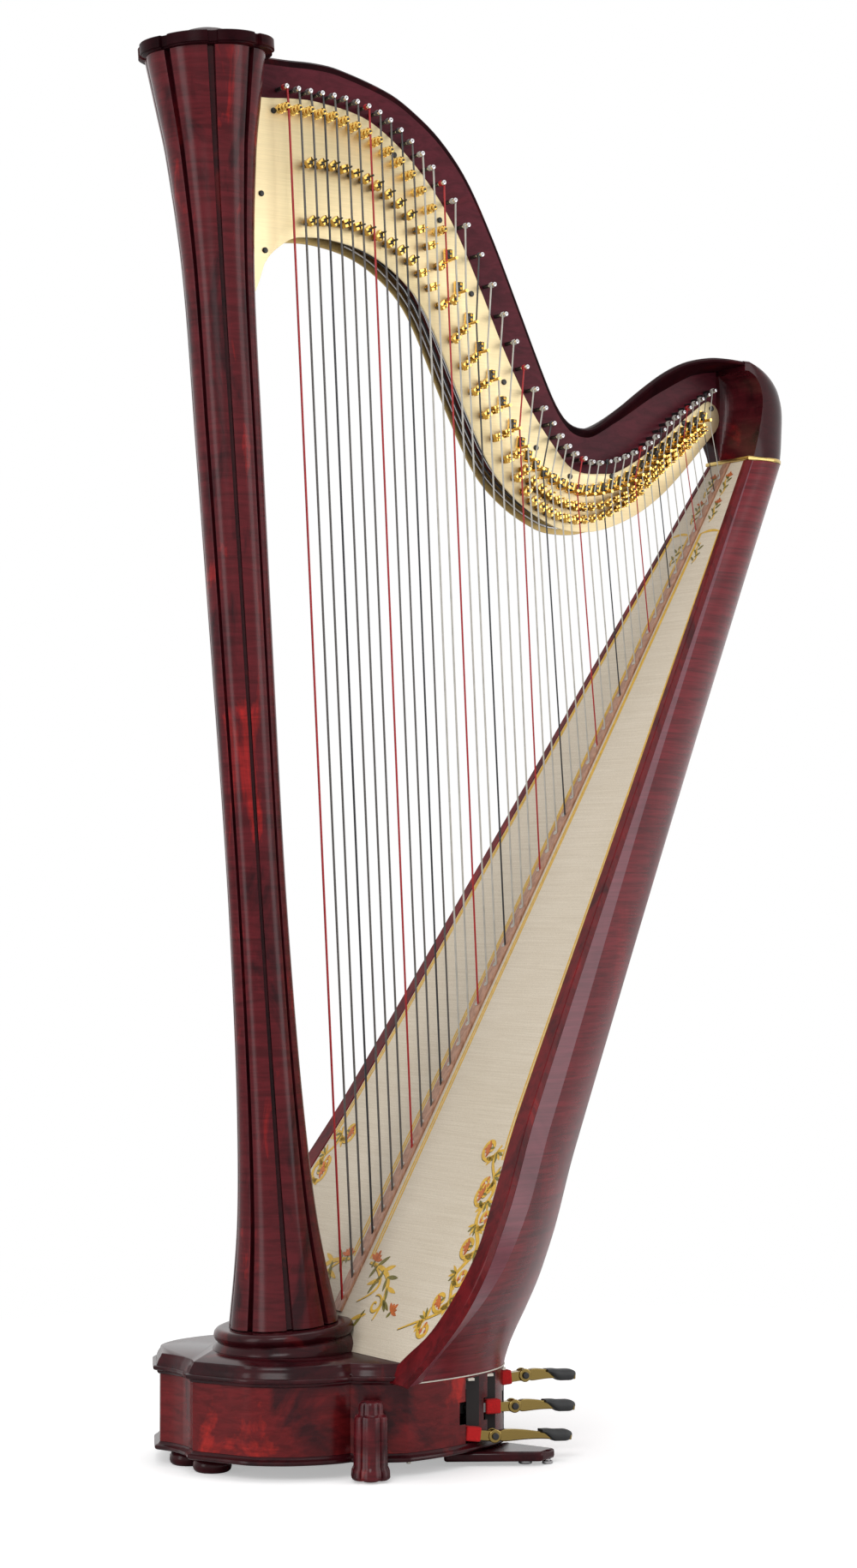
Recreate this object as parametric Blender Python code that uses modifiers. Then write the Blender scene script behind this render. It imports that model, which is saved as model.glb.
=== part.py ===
"""Pedal harp: column, neck, soundbox, strings, base, seven folding pedals and one octave of fork discs.

Metres, +Z up. Sizes are given in the harp's own frame: the column's foot is on x = 0, the soundbox lies
towards +X and the strings hang in the plane y = 0. The root empty shifts that frame so that the finished
harp stands with the middle of its base area on the world's origin.
"""
from math import atan2, cos, pi, radians, sin, sqrt

import bmesh
import bpy
from mathutils import Matrix, Vector

# Fits
GAP = 0.0003
RUNNING = 0.0002

# Overall places
CENTRE_X = 0.2943

# Column, turned about an axis that leans towards -X
LEAN = radians(4.17)
COLUMN_BOTTOM = 0.1782
COLUMN_TOP = 1.8300
COLUMN_BORE_R = 0.030
CLEARANCE_OVER_TOP = 0.060
COLUMN_LOBES = 8
VALLEY_HALF = radians(3.7)
VALLEY_FLOOR_HALF = radians(2.9)
VALLEY_DEPTH_SHARE = 0.14
COLUMN_PROFILE = [
    (0.1782, 0.0725), (0.247, 0.0615), (0.314, 0.0530), (0.404, 0.0467), (0.5275, 0.0419), (0.706, 0.0390),
    (0.84, 0.0390), (1.108, 0.0418), (1.331, 0.0446), (1.549, 0.0480), (1.70, 0.0600), (1.767, 0.0700),
    (1.8300, 0.0800),
]
RIM_R = 0.0889
RIM_EDGE = 0.004
RIM_THICK = 0.0175
RIM_VALLEY = 0.0060
CAP_R = 0.050
CAP_RISE = 0.0270
RING_R = 0.095
RING_TOP_R = 0.089
RING_TOP = 0.1767

# Base
FLOOR_BOTTOM = 0.0195
FLOOR_TOP = 0.0305
WALL_TOP = 0.1170
WALL_THICK = 0.010
BASE_TOP = 0.1433
BASE_REAR_X = 0.279
BASE_SIDE_X = 0.050
BASE_HALF = 0.204
REAR_ROUND_X = 1.5
REAR_ROUND_Y = 3.3
BASE_DRAWN_HALF = 0.204
BASE_FRONT = [
    (-0.1600, 0.0), (-0.1625, 0.024), (-0.1700, 0.0445), (-0.1590, 0.067), (-0.1420, 0.100), (-0.1275, 0.1250),
    (-0.0950, 0.150), (-0.0600, 0.1635), (-0.0300, 0.1685), (-0.0100, 0.1665), (0.0050, 0.1810), (0.0300, 0.1950),
]
TOP_MOULD = [
    (0.0, 0.0035), (0.0030, 0.0095), (0.0090, 0.0095), (0.0120, 0.0040), (0.0200, 0.0015), (0.0260, -0.0025),
]
FLOOR_MOULD = [(0.0, 0.0040), (0.0030, 0.0070), (0.0075, 0.0060), (0.0110, 0.0015)]

# Feet
MOULD_CLEAR = 0.0075
BUN_X = -0.135
BUN_Y = 0.032
BUN_R = 0.025
SIDE_FOOT_X = -0.002
SIDE_FOOT_INSET = 0.001
SIDE_FOOT_LOBES = 6
SIDE_FOOT_PROFILE = [
    (0.0, 0.0180), (0.0040, 0.0260), (0.0190, 0.0235), (0.0820, 0.0225), (0.0870, 0.0160), (0.1000, 0.0150),
]
REAR_FOOT_BOTTOM = 0.0060
REAR_FOOT = [(0.165, 0.120), (0.130, 0.165), (0.240, 0.228), (0.272, 0.211), (0.245, 0.140)]
GLIDE_X = 0.236
GLIDE_Y = 0.195
GLIDE_R = 0.009

# Soundboard plane: s runs up the board, n runs back into the box
BOARD_ANGLE = radians(60.97)
BOARD_X = 0.080
BOARD_Z = 0.2067
BOARD_THICK = 0.0060
BOARD_LOW = -0.0950
BOARD_HIGH = 1.40
STRIP_THICK = 0.0032
EDGE_STRIP_LOW = -0.0640
BODY_TOP = 1.3530
BAND_THICK = 0.0055
BAND_PROUD = 0.0018
BOX_WALL = 0.0070
HALF_WIDTH = [
    (-0.15, 0.190), (-0.092, 0.2354), (-0.04, 0.266), (0.009, 0.2841), (0.0626, 0.2887), (0.11, 0.2830),
    (0.166, 0.2724), (0.283, 0.2396), (0.789, 0.1427), (1.308, 0.0498), (1.45, 0.0250),
]
BOARD_HALF = [
    (-0.15, 0.145), (-0.0667, 0.2051), (-0.0297, 0.2356), (0.0232, 0.2534), (0.0868, 0.2586), (0.156, 0.2432),
    (0.281, 0.2124), (0.777, 0.1307), (1.3085, 0.0413), (1.45, 0.0180),
]
CREASE_DEPTH = [(-0.15, 0.030), (0.30, 0.033), (0.80, 0.0176), (1.31, 0.0080), (1.45, 0.0060)]
BOX_DEPTH = 0.2195
BOX_DEPTH_TAPER = 0.1085
FAN_FROM = 0.30
BLEND_POWER = 4
BACK_STEPS = 7
HOLE_PLACES = [
    (0.33, 0.070, 0.050), (0.56, 0.062, 0.043), (0.77, 0.055, 0.036), (0.96, 0.047, 0.029), (1.12, 0.038, 0.022),
]
RIB_HALF = 0.012
RIB_DEPTH = 0.014
RIB_LOW = 0.0
RIB_HIGH = 1.27

# Strings
STRINGS = 47
STRING_Y = -0.0030
FIRST_ANCHOR = -0.0091
GAP_BASS = 0.03214
GAP_SLOPE = 0.00007
GAP_CURVE = 0.0000035
STRING_R_BASS = 0.0011
STRING_R_TREBLE = 0.0005
STRIP_MARGIN = 0.0140
CENTRE_HALF_LOW = 0.0120
CENTRE_HALF_HIGH = 0.0070
PIN_R = 0.0026
PIN_FRONT = -0.0090
NUT_X = [
    (1, -0.0095), (5, 0.0636), (8, 0.1163), (10, 0.1506), (12, 0.1854), (15, 0.2356), (18, 0.2855), (22, 0.3562),
    (25, 0.3948), (30, 0.4667), (35, 0.5377), (40, 0.6003), (47, 0.6820),
]
NUT_Z = [
    (1, 1.7768), (5, 1.7738), (8, 1.7579), (10, 1.7375), (12, 1.7093), (15, 1.6389), (18, 1.5173), (22, 1.3766),
    (25, 1.3233), (30, 1.2941), (35, 1.3102), (40, 1.3551), (47, 1.4129),
]
PIN_X = [
    (1, -0.0146), (8, 0.1120), (12, 0.1797), (16, 0.2490), (18, 0.2925), (20, 0.3315), (22, 0.3665), (24, 0.3975),
    (26, 0.4250), (28, 0.4500), (31, 0.4922), (36, 0.5641), (41, 0.6230), (47, 0.6900),
]
PIN_Z = [
    (1, 1.8021), (8, 1.7917), (12, 1.7525), (16, 1.6800), (18, 1.6100), (20, 1.5320), (22, 1.4620), (24, 1.4075),
    (26, 1.3710), (28, 1.3480), (31, 1.3383), (36, 1.3637), (41, 1.4121), (47, 1.4557),
]

# Neck, its two plates and the shoulder
PLATE_FRONT_Y = 0.0180
PLATE_THICK = 0.0030
NECK_WIDTH = 0.0420
JOINT_X = 0.7120
NECK_TOP = [
    (-0.12, 1.8460), (0.0, 1.8465), (0.0430, 1.8480), (0.0810, 1.8450), (0.1620, 1.8230), (0.2030, 1.8010),
    (0.2450, 1.7670), (0.2870, 1.7160), (0.3290, 1.6400), (0.3710, 1.5500), (0.4135, 1.4591), (0.4351, 1.4189),
    (0.4562, 1.3964), (0.4757, 1.3890), (0.4948, 1.3924), (0.5327, 1.4208), (0.5890, 1.4671), (0.6263, 1.4884),
    (0.6634, 1.4974), (0.7120, 1.4985),
]
PLATE_LOW = [
    (-0.12, 1.450), (-0.0750, 1.470), (-0.0424, 1.5419), (-0.0321, 1.5714), (-0.0062, 1.5969), (0.0186, 1.6087),
    (0.0781, 1.6092), (0.1384, 1.5935), (0.1913, 1.5580), (0.2229, 1.5165), (0.2796, 1.4015), (0.3244, 1.3209),
    (0.3696, 1.2776), (0.4239, 1.2488), (0.4571, 1.2423), (0.5053, 1.2464), (0.5674, 1.2719), (0.6244, 1.3133),
    (0.7007, 1.3925),
]
PLATE_HIGH = [
    (-0.12, 1.7860), (-0.03, 1.7896), (0.0065, 1.7931), (0.0460, 1.7936), (0.1194, 1.7809), (0.1735, 1.7491),
    (0.2215, 1.7043), (0.2630, 1.6488), (0.3049, 1.5692), (0.3471, 1.4816), (0.3897, 1.4077), (0.4327, 1.3535),
    (0.4544, 1.3322), (0.4762, 1.3253), (0.5054, 1.3261), (0.5349, 1.3305), (0.5945, 1.3663), (0.6550, 1.4162),
    (0.6886, 1.4410),
]
PLATE_END = [(0.7005, 1.4415), (0.7100, 1.4350), (0.7148, 1.4240), (0.7130, 1.4100)]
CHANNEL = 0.030
VISOR_FROM = 0.450
VISOR_OUT = 0.0683
VISOR_EDGE = 0.0030
VISOR_DROP = [(0.45, 0.004), (0.508, 0.0085), (0.582, 0.0224), (0.627, 0.0234), (0.67, 0.0120), (0.712, 0.0005)]
SHOULDER_FRONT = [(1.3585, 0.7175), (1.390, 0.7125), (1.405, 0.7120), (1.50, 0.7120)]
SHOULDER_BACK = [
    (1.3585, 0.8000), (1.400, 0.8090), (1.4415, 0.8110), (1.4686, 0.8030), (1.4860, 0.7800), (1.4950, 0.7560),
    (1.4985, 0.7350),
]
SHOULDER_HALF_LOW = 0.0490
SCOOP_X = 0.7175
SCOOP_WIDE = 0.0275
SCOOP_BOTTOM = 1.3660
SCOOP_TOP = 1.4945
SCOOP_PAST = 0.0200

# Pedal action: name, slot place in y, pivot place in y, notch at rest, toe length and slope.
# The notch is -1 for sharp, 0 for natural and 1 for flat.
PEDALS = [
    ("d", -0.178, -0.128, -1, 0.121, -2.0),
    ("c", -0.157, -0.102, 0, 0.096, -2.0),
    ("b", -0.118, -0.076, 1, 0.084, -2.0),
    ("e", 0.063, 0.050, 0, 0.080, -2.0),
    ("f", 0.118, 0.076, 0, 0.084, -2.0),
    ("g", 0.157, 0.102, 0, 0.096, -2.0),
    ("a", 0.178, 0.128, 1, 0.121, 11.0),
]
AXLE_X = -0.085
AXLE_Z = 0.0700
AXLE_R = 0.0040
AXLE_HALF = 0.1413
NOTCH = 0.0290
LEVER_HALF_WIDE = 0.0035
LEVER_HALF_TALL = 0.0060
HUB_R = 0.0080
SLOT_HALF = 0.0075
SLOT_JOG = 0.0060
SLOT_LOW = 0.0330
SLOT_HIGH = 0.1140
SLOT_DEPTH = 0.0350
TOE_PIN_OUT = 0.0300
TOE_PIN_R = 0.0022
TOE_HALF_TALL = 0.0045
HUB_PROUD = 0.0010
FORK_GRIP = 0.0012
FORK_EAR = 0.0034
FORK_HALF_TALL = 0.0050
FORK_ROOT = 0.0080
FORK_PAST_PIN = 0.0040
LEVER_SHORT = 0.0025
PIN_INSET = 0.0005
BORE_REACH = 0.0120
TOE_R = 0.0070
TOE_CAP_LONG = 0.040
TOE_CAP_HALF = 0.0110
TOE_CAP_TALL = 0.0130
ROD_R = 0.0022
ROD_RING_R = 0.0190
ROD_LOW = 0.1230
ROD_BELOW_TOP = 0.030

# Fork discs of one octave
DISC_FIRST = 16
DISC_NOTES = "defgabc"
NATURAL_SHARE = 0.056
SHARP_SHARE = 0.109
DISC_R = 0.0058
DISC_BACK = 0.0080
PRONG_R = 0.0011
PRONG_PLACE_R = 0.0044
SPINDLE_R = 0.0025
DISC_OPEN = radians(20)
DISC_STEP = radians(20)

NECK_FRONT = PLATE_FRONT_Y + PLATE_THICK + GAP
NECK_BACK = NECK_FRONT + NECK_WIDTH
BOARD_UP = Vector((cos(BOARD_ANGLE), 0, sin(BOARD_ANGLE)))
BOARD_IN = Vector((sin(BOARD_ANGLE), 0, -cos(BOARD_ANGLE)))
BOARD_POINT = Vector((BOARD_X, 0, BOARD_Z))
ACROSS = Vector((0, 1, 0))
LEAN_TURN = Matrix.Rotation(-LEAN, 4, "Y")

for old in list(bpy.data.objects):
    bpy.data.objects.remove(old)

parts = bpy.data.collections.new("pedal_harp")
cutters = bpy.data.collections.new("cutters")
for collection in (parts, cutters):
    bpy.context.scene.collection.children.link(collection)
root = bpy.data.objects.new("harp_frame", None)
root.location = (-CENTRE_X, 0, 0)
parts.objects.link(root)


def material(name, colour, rough, metallic=0.0):
    made = bpy.data.materials.new(name)
    made.use_nodes = True
    shader = made.node_tree.nodes["Principled BSDF"]
    shader.inputs["Base Color"].default_value = (*colour, 1)
    shader.inputs["Roughness"].default_value = rough
    shader.inputs["Metallic"].default_value = metallic
    return made


FINISHES = {
    "lacquer": ((0.16, 0.010, 0.012), 0.22, 0.0), "dark_lacquer": ((0.035, 0.006, 0.008), 0.22, 0.0),
    "spruce": ((0.70, 0.60, 0.45), 0.55, 0.0), "strip": ((0.36, 0.16, 0.08), 0.50, 0.0),
    "gold": ((0.80, 0.62, 0.28), 0.32, 1.0), "satin_gold": ((0.85, 0.72, 0.48), 0.42, 1.0),
    "brass": ((0.50, 0.36, 0.12), 0.30, 1.0), "steel": ((0.55, 0.55, 0.56), 0.30, 1.0),
    "string": ((0.80, 0.76, 0.68), 0.35, 0.0),
}


def curve_at(points, place):
    """Height of a smooth curve through the points, which run along their first value."""
    if place <= points[0][0]:
        return points[0][1]
    if place >= points[-1][0]:
        return points[-1][1]
    i = max(k for k in range(len(points) - 1) if points[k][0] <= place)

    def slope(k):
        low, high = max(k - 1, 0), min(k + 1, len(points) - 1)
        return (points[high][1] - points[low][1]) / (points[high][0] - points[low][0])

    (x0, y0), (x1, y1) = points[i], points[i + 1]
    span = x1 - x0
    t = (place - x0) / span
    near = (2 * t**3 - 3 * t**2 + 1) * y0 + (t**3 - 2 * t**2 + t) * span * slope(i)
    return near + (3 * t**2 - 2 * t**3) * y1 + (t**3 - t**2) * span * slope(i + 1)


def board_point(s, y, n):
    return BOARD_POINT + BOARD_UP * s + ACROSS * y + BOARD_IN * n


def add_object(name, mesh, collection, finish=None):
    obj = bpy.data.objects.new(name, mesh)
    collection.objects.link(obj)
    obj.parent = root
    if finish:
        colour, rough, metallic = FINISHES[finish]
        mesh.materials.append(material(name + "_" + finish, colour, rough, metallic))
    if collection is cutters:
        obj.hide_render = True
        obj.display_type = "WIRE"
    return obj


def mesh_from(bm, name):
    bmesh.ops.recalc_face_normals(bm, faces=bm.faces)
    mesh = bpy.data.meshes.new(name)
    bm.to_mesh(mesh)
    bm.free()
    return mesh


def loft_mesh(name, rings, open_rings=False):
    """Skin closed rings with the same number of points; open_rings are C-shaped walls closed at their ends."""
    bm = bmesh.new()
    rows = [[bm.verts.new(point) for point in ring] for ring in rings]
    count = len(rows[0])
    for low, high in zip(rows, rows[1:]):
        for i in range(count):
            j = (i + 1) % count
            bm.faces.new((low[i], low[j], high[j], high[i]))
    for row in (rows[0], rows[-1]):
        if open_rings:
            half = count // 2
            for i in range(half - 1):
                bm.faces.new((row[i], row[i + 1], row[count - 2 - i], row[count - 1 - i]))
        else:
            bm.faces.new(row)
    return mesh_from(bm, name)


def tube_mesh(name, outer, inner):
    """A wall between two stacks of rings, open through its middle."""
    bm = bmesh.new()
    rows = [[bm.verts.new(point) for point in ring] for ring in outer + inner[::-1]]
    count = len(rows[0])
    for low, high in zip(rows, rows[1:] + rows[:1]):
        for i in range(count):
            j = (i + 1) % count
            bm.faces.new((low[i], low[j], high[j], high[i]))
    return mesh_from(bm, name)


def turned(name, profile, finish, steps=32, collection=parts):
    """A turned piece: the profile runs down from the top, radius first, and both its ends lie on the axis."""
    mesh = bpy.data.meshes.new(name)
    mesh.from_pydata([(r, 0, z) for r, z in profile], [(i, i + 1) for i in range(len(profile) - 1)], [])
    obj = add_object(name, mesh, collection, finish)
    screw = obj.modifiers.new("turn", "SCREW")
    screw.steps = steps
    screw.render_steps = steps
    screw.use_merge_vertices = True
    screw.merge_threshold = 0.0001
    return obj


def fixed_mesh(obj):
    """The evaluated mesh of a curve or of a piece with modifiers, as a plain welded object of the same name."""
    bpy.context.view_layer.update()
    graph = bpy.context.evaluated_depsgraph_get()
    mesh = bpy.data.meshes.new_from_object(obj.evaluated_get(graph))
    bm = bmesh.new()
    bm.from_mesh(mesh)
    bmesh.ops.remove_doubles(bm, verts=bm.verts, dist=0.00002)
    bm.to_mesh(mesh)
    bm.free()
    return mesh


def flat_plate(name, outline, y_front, thick, finish, collection=parts):
    """A plate in the string plane's direction: a 2D outline in x and z, extruded along y."""
    curve = bpy.data.curves.new(name + "_outline", "CURVE")
    curve.dimensions = "2D"
    curve.fill_mode = "BOTH"
    curve.extrude = thick / 2
    spline = curve.splines.new("POLY")
    spline.points.add(len(outline) - 1)
    for point, (x, z) in zip(spline.points, outline):
        point.co = (x, z, 0, 1)
    spline.use_cyclic_u = True
    drawn = bpy.data.objects.new(name + "_outline", curve)
    parts.objects.link(drawn)
    mesh = fixed_mesh(drawn)
    bpy.data.objects.remove(drawn)
    mesh.materials.clear()
    obj = add_object(name, mesh, collection, finish)
    obj.rotation_euler = (radians(90), 0, 0)
    obj.location = (0, y_front + thick / 2, 0)
    return obj


def cylinder_bm(bm, radius, low, high, sides, start=Vector((0, 0, 0)), turn=Matrix.Identity(4), radius_high=None):
    """A cylinder along local z, then turned and moved."""
    made = bmesh.ops.create_cone(
        bm, cap_ends=True, segments=sides, radius1=radius, radius2=radius if radius_high is None else radius_high,
        depth=high - low,
    )
    bmesh.ops.transform(bm, matrix=Matrix.Translation((0, 0, (low + high) / 2)), verts=made["verts"])
    bmesh.ops.transform(bm, matrix=Matrix.Translation(start) @ turn, verts=made["verts"])
    return made["verts"]


def box_bm(bm, low, high, turn=Matrix.Identity(4)):
    made = bmesh.ops.create_cube(bm, size=1)
    low, high = Vector(low), Vector(high)
    size = high - low
    bmesh.ops.scale(bm, vec=size, verts=made["verts"])
    bmesh.ops.translate(bm, vec=(low + high) / 2, verts=made["verts"])
    bmesh.ops.transform(bm, matrix=turn, verts=made["verts"])
    return made["verts"]


def boolean(target, tool, operation="DIFFERENCE", crosses_itself=False):
    step = target.modifiers.new(tool.name, "BOOLEAN")
    step.object = tool
    step.operation = operation
    step.solver = "EXACT"
    step.use_self = crosses_itself
    return step


def shade_round(obj, angle=35):
    obj.data.shade_smooth()
    obj.data.set_sharp_from_angle(angle=radians(angle))


def box_cutter(name, low, high, turn=Matrix.Identity(4)):
    bm = bmesh.new()
    box_bm(bm, low, high, turn)
    return add_object(name, mesh_from(bm, name), cutters)


def lobed_ring(radius, height, lobes, valley, edge_share=0.97):
    """Convex lobes between narrow flat-bottomed valleys, round the local z axis."""
    ring = []
    pitch = 2 * pi / lobes
    for lobe in range(lobes):
        middle = lobe * pitch
        edge = pitch / 2 - VALLEY_HALF
        for step in (-1, -0.5, 0, 0.5, 1):
            r = radius * (1 - (1 - edge_share) * abs(step) ** 2)
            angle = middle + step * edge
            ring.append(Vector((r * cos(angle), r * sin(angle), height)))
        for side in (-1, 1):
            angle = middle + pitch / 2 + side * VALLEY_FLOOR_HALF
            ring.append(Vector(((radius - valley) * cos(angle), (radius - valley) * sin(angle), height)))
    return ring


def round_ring(radius, height, count):
    return [Vector((radius * cos(2 * pi * i / count), radius * sin(2 * pi * i / count), height)) for i in range(count)]


def leaned(obj):
    obj.rotation_euler = (0, -LEAN, 0)
    return obj


def column_outline():
    """The column's profile, stretched between its two ends."""
    first, last = COLUMN_PROFILE[0][0], COLUMN_PROFILE[-1][0]
    stretch = (COLUMN_TOP - COLUMN_BOTTOM) / (last - first)
    return [(COLUMN_BOTTOM + (z - first) * stretch, r) for z, r in COLUMN_PROFILE]


def column_radius(height):
    return curve_at(column_outline(), height)


# Column and what stands on it
def make_column():
    heights = [place for place, _ in column_outline()]
    outer = []
    for z in heights:
        r = column_radius(z)
        outer.append(lobed_ring(r, z, COLUMN_LOBES, r * VALLEY_DEPTH_SHARE))
    inner = []
    for z in (heights[0], heights[-1]):
        around = [atan2(p.y, p.x) for p in outer[0]]
        inner.append([Vector((COLUMN_BORE_R * cos(a), COLUMN_BORE_R * sin(a), z)) for a in around])
    column = leaned(add_object("column", tube_mesh("column", outer, inner), parts, "lacquer"))
    shade_round(column, 25)


def make_crown():
    rim_low = COLUMN_TOP + GAP
    rim_high = rim_low + RIM_THICK
    profile = [
        (RIM_R - RIM_EDGE, rim_low), (RIM_R, rim_low + RIM_EDGE), (RIM_R, rim_high - RIM_EDGE), (RIM_R - RIM_EDGE, rim_high),
    ]
    rings = [lobed_ring(r, z, COLUMN_LOBES, RIM_VALLEY) for r, z in profile]
    rim = leaned(add_object("crown_rim", loft_mesh("crown_rim", rings), parts, "dark_lacquer"))
    shade_round(rim, 25)
    low = rim_high + GAP
    profile = [(0, low + CAP_RISE), (CAP_R * 0.4, low + CAP_RISE * 0.93), (CAP_R * 0.75, low + CAP_RISE * 0.62)]
    profile += [(CAP_R, low + CAP_RISE * 0.15), (CAP_R, low), (0, low)]
    leaned(turned("crown_cap", profile, "dark_lacquer"))


def make_foot_ring(board_cutter, floor_cutter):
    top = RING_TOP
    profile = [(0, top), (RING_TOP_R, top), (RING_R, top - 0.010), (RING_R - 0.001, top - 0.019)]
    profile += [(RING_R - 0.003, top - 0.026), (RING_R - 0.001, BASE_TOP - 0.012), (0, BASE_TOP - 0.012)]
    ring = leaned(turned("column_foot_ring", profile, "dark_lacquer", steps=40))
    boolean(ring, floor_cutter)
    boolean(ring, board_cutter)
    boolean(ring, rod_hole_cutter)


def make_column_clearance():
    """The column and crown with their clearance, for cutting what butts against them."""
    clear = 2 * GAP
    high = COLUMN_TOP - 2 * GAP
    heights = [z for z, _ in column_outline() if COLUMN_TOP / 2 < z < high] + [high]
    rings = [round_ring((column_radius(z) + clear) / cos(pi / 32), z, 32) for z in heights]
    rings += [round_ring(RIM_R + clear, z, 32) for z in (COLUMN_TOP - GAP, COLUMN_TOP + CLEARANCE_OVER_TOP)]
    return leaned(add_object("column_clearance", loft_mesh("column_clearance", rings), cutters))


# Base
def rear_outline(angle):
    """Rear half of the base, a rounded form from its widest place to the rear middle."""
    x = BASE_SIDE_X + (BASE_REAR_X - BASE_SIDE_X) * max(cos(angle), 0) ** (2 / REAR_ROUND_X)
    return x, BASE_HALF * max(sin(angle), 0) ** (2 / REAR_ROUND_Y)


def base_outline(grow=0.0):
    half = [(x, y * BASE_HALF / BASE_DRAWN_HALF) for x, y in BASE_FRONT]
    half += [rear_outline(pi / 2 * (1 - i / 10)) for i in range(11)]
    loop = half + [(x, -y) for x, y in half[-2:0:-1]]
    grown = []
    for i, (x, y) in enumerate(loop):
        before, after = Vector(loop[i - 1]), Vector(loop[(i + 1) % len(loop)])
        here = Vector((x, y))
        one, two = (here - before).normalized(), (after - here).normalized()
        outward = Vector((one.y, -one.x)) + Vector((two.y, -two.x))
        outward = -outward.normalized()
        share = max(abs(outward.dot(Vector((one.y, -one.x)))), 0.6)
        grown.append(here + outward * grow / share)
    return grown


def base_ring(height, grow):
    return [Vector((p.x, p.y, height)) for p in base_outline(grow)]


def pedal_line(pedal):
    """Axle point, slot point and plan direction of a pedal."""
    slot_y, pivot_y = pedal[1], pedal[2]
    angle = min((a * pi / 720 for a in range(361)), key=lambda a: abs(rear_outline(a)[1] - abs(slot_y)))
    slot = Vector((rear_outline(angle)[0], slot_y, AXLE_Z))
    axle = Vector((AXLE_X, pivot_y, AXLE_Z))
    direction = Vector((slot.x - axle.x, slot.y - axle.y, 0)).normalized()
    return axle, slot, direction


def plan_turn(direction):
    return Matrix.Rotation(atan2(direction.y, direction.x), 4, "Z")


def slot_cutter(pedal):
    """The stepped slot: a straight run with a notch to the side for the natural and for the sharp place."""
    name = pedal[0]
    _, slot, direction = pedal_line(pedal)
    out = 1 if slot.y < 0 else -1
    bm = bmesh.new()
    turn = Matrix.Translation((slot.x, slot.y, 0)) @ plan_turn(direction)
    levels = [SLOT_LOW, AXLE_Z - NOTCH / 2, AXLE_Z + NOTCH / 2, SLOT_HIGH]
    for step, (low, high) in enumerate(zip(levels, levels[1:])):
        side = (0, -SLOT_JOG, 0)[step] * out
        edge_low, edge_high = min(-SLOT_HALF, side - SLOT_HALF), max(SLOT_HALF, side + SLOT_HALF)
        box_bm(bm, (-SLOT_DEPTH, edge_low, low), (SLOT_DEPTH, edge_high, high + GAP), turn)
    return add_object("slot_" + name, mesh_from(bm, "slot_" + name), cutters)


def make_base(board_cutter):
    outer = [base_ring(z, 0) for z in (FLOOR_TOP + GAP, WALL_TOP)]
    inner = [base_ring(z, -WALL_THICK) for z in (FLOOR_TOP + GAP, WALL_TOP)]
    wall = add_object("base_wall", tube_mesh("base_wall", outer, inner), parts, "lacquer")
    for pedal in PEDALS:
        boolean(wall, slot_cutter(pedal), crosses_itself=True)
    low = WALL_TOP + GAP
    mould = [base_ring(low + z, grow) for z, grow in TOP_MOULD]
    top = add_object("base_top", loft_mesh("base_top", mould), parts, "dark_lacquer")
    boolean(top, board_cutter)
    boolean(top, rod_hole_cutter)
    rings = [base_ring(FLOOR_BOTTOM + z, g) for z, g in FLOOR_MOULD]
    add_object("base_floor", loft_mesh("base_floor", rings), parts, "dark_lacquer")


def make_feet():
    top = FLOOR_BOTTOM - GAP
    bun = [(0, top), (BUN_R * 0.75, top), (BUN_R, top * 0.70), (BUN_R, top * 0.35), (BUN_R * 0.8, 0), (0, 0)]
    for side, sign in (("left", -1), ("right", 1)):
        foot = turned("front_foot_" + side, bun, "dark_lacquer", steps=20)
        foot.location = (BUN_X, sign * BUN_Y, 0)
        rings = [lobed_ring(r, z, SIDE_FOOT_LOBES, 0.16 * r, 0.94) for z, r in SIDE_FOOT_PROFILE]
        fluted = add_object("side_foot_" + side, loft_mesh("side_foot_" + side, rings), parts, "lacquer")
        fluted.location = (SIDE_FOOT_X, sign * (BASE_HALF - SIDE_FOOT_INSET), 0)
        boolean(fluted, base_clearance)
        bm = bmesh.new()
        low = [bm.verts.new((x, sign * y, REAR_FOOT_BOTTOM)) for x, y in REAR_FOOT]
        face = bm.faces.new(low)
        grown = bmesh.ops.extrude_face_region(bm, geom=[face])
        verts = [v for v in grown["geom"] if isinstance(v, bmesh.types.BMVert)]
        bmesh.ops.translate(bm, vec=(0, 0, top - REAR_FOOT_BOTTOM), verts=verts)
        wedge = add_object("rear_foot_" + side, mesh_from(bm, "rear_foot_" + side), parts, "dark_lacquer")
        bm = bmesh.new()
        cylinder_bm(bm, GLIDE_R, 0, REAR_FOOT_BOTTOM + 0.004, 12, Vector((GLIDE_X, sign * GLIDE_Y, 0)))
        boolean(wedge, add_object("glide_" + side, mesh_from(bm, "glide_" + side), cutters), "UNION")


# Soundbox
def box_depth(s):
    return BOX_DEPTH - BOX_DEPTH_TAPER * s


def back_arc(half, crease, depth):
    """Points of the rounded back in (depth, half width), from the crease to the back's middle."""
    rise = depth - crease
    radius = (half * half + rise * rise) / (2 * rise)
    centre = depth - radius
    start = atan2(half, crease - centre)
    angles = [start * (1 - i / BACK_STEPS) for i in range(BACK_STEPS + 1)]
    return [(centre + radius * cos(a), radius * sin(a)) for a in angles]


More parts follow.
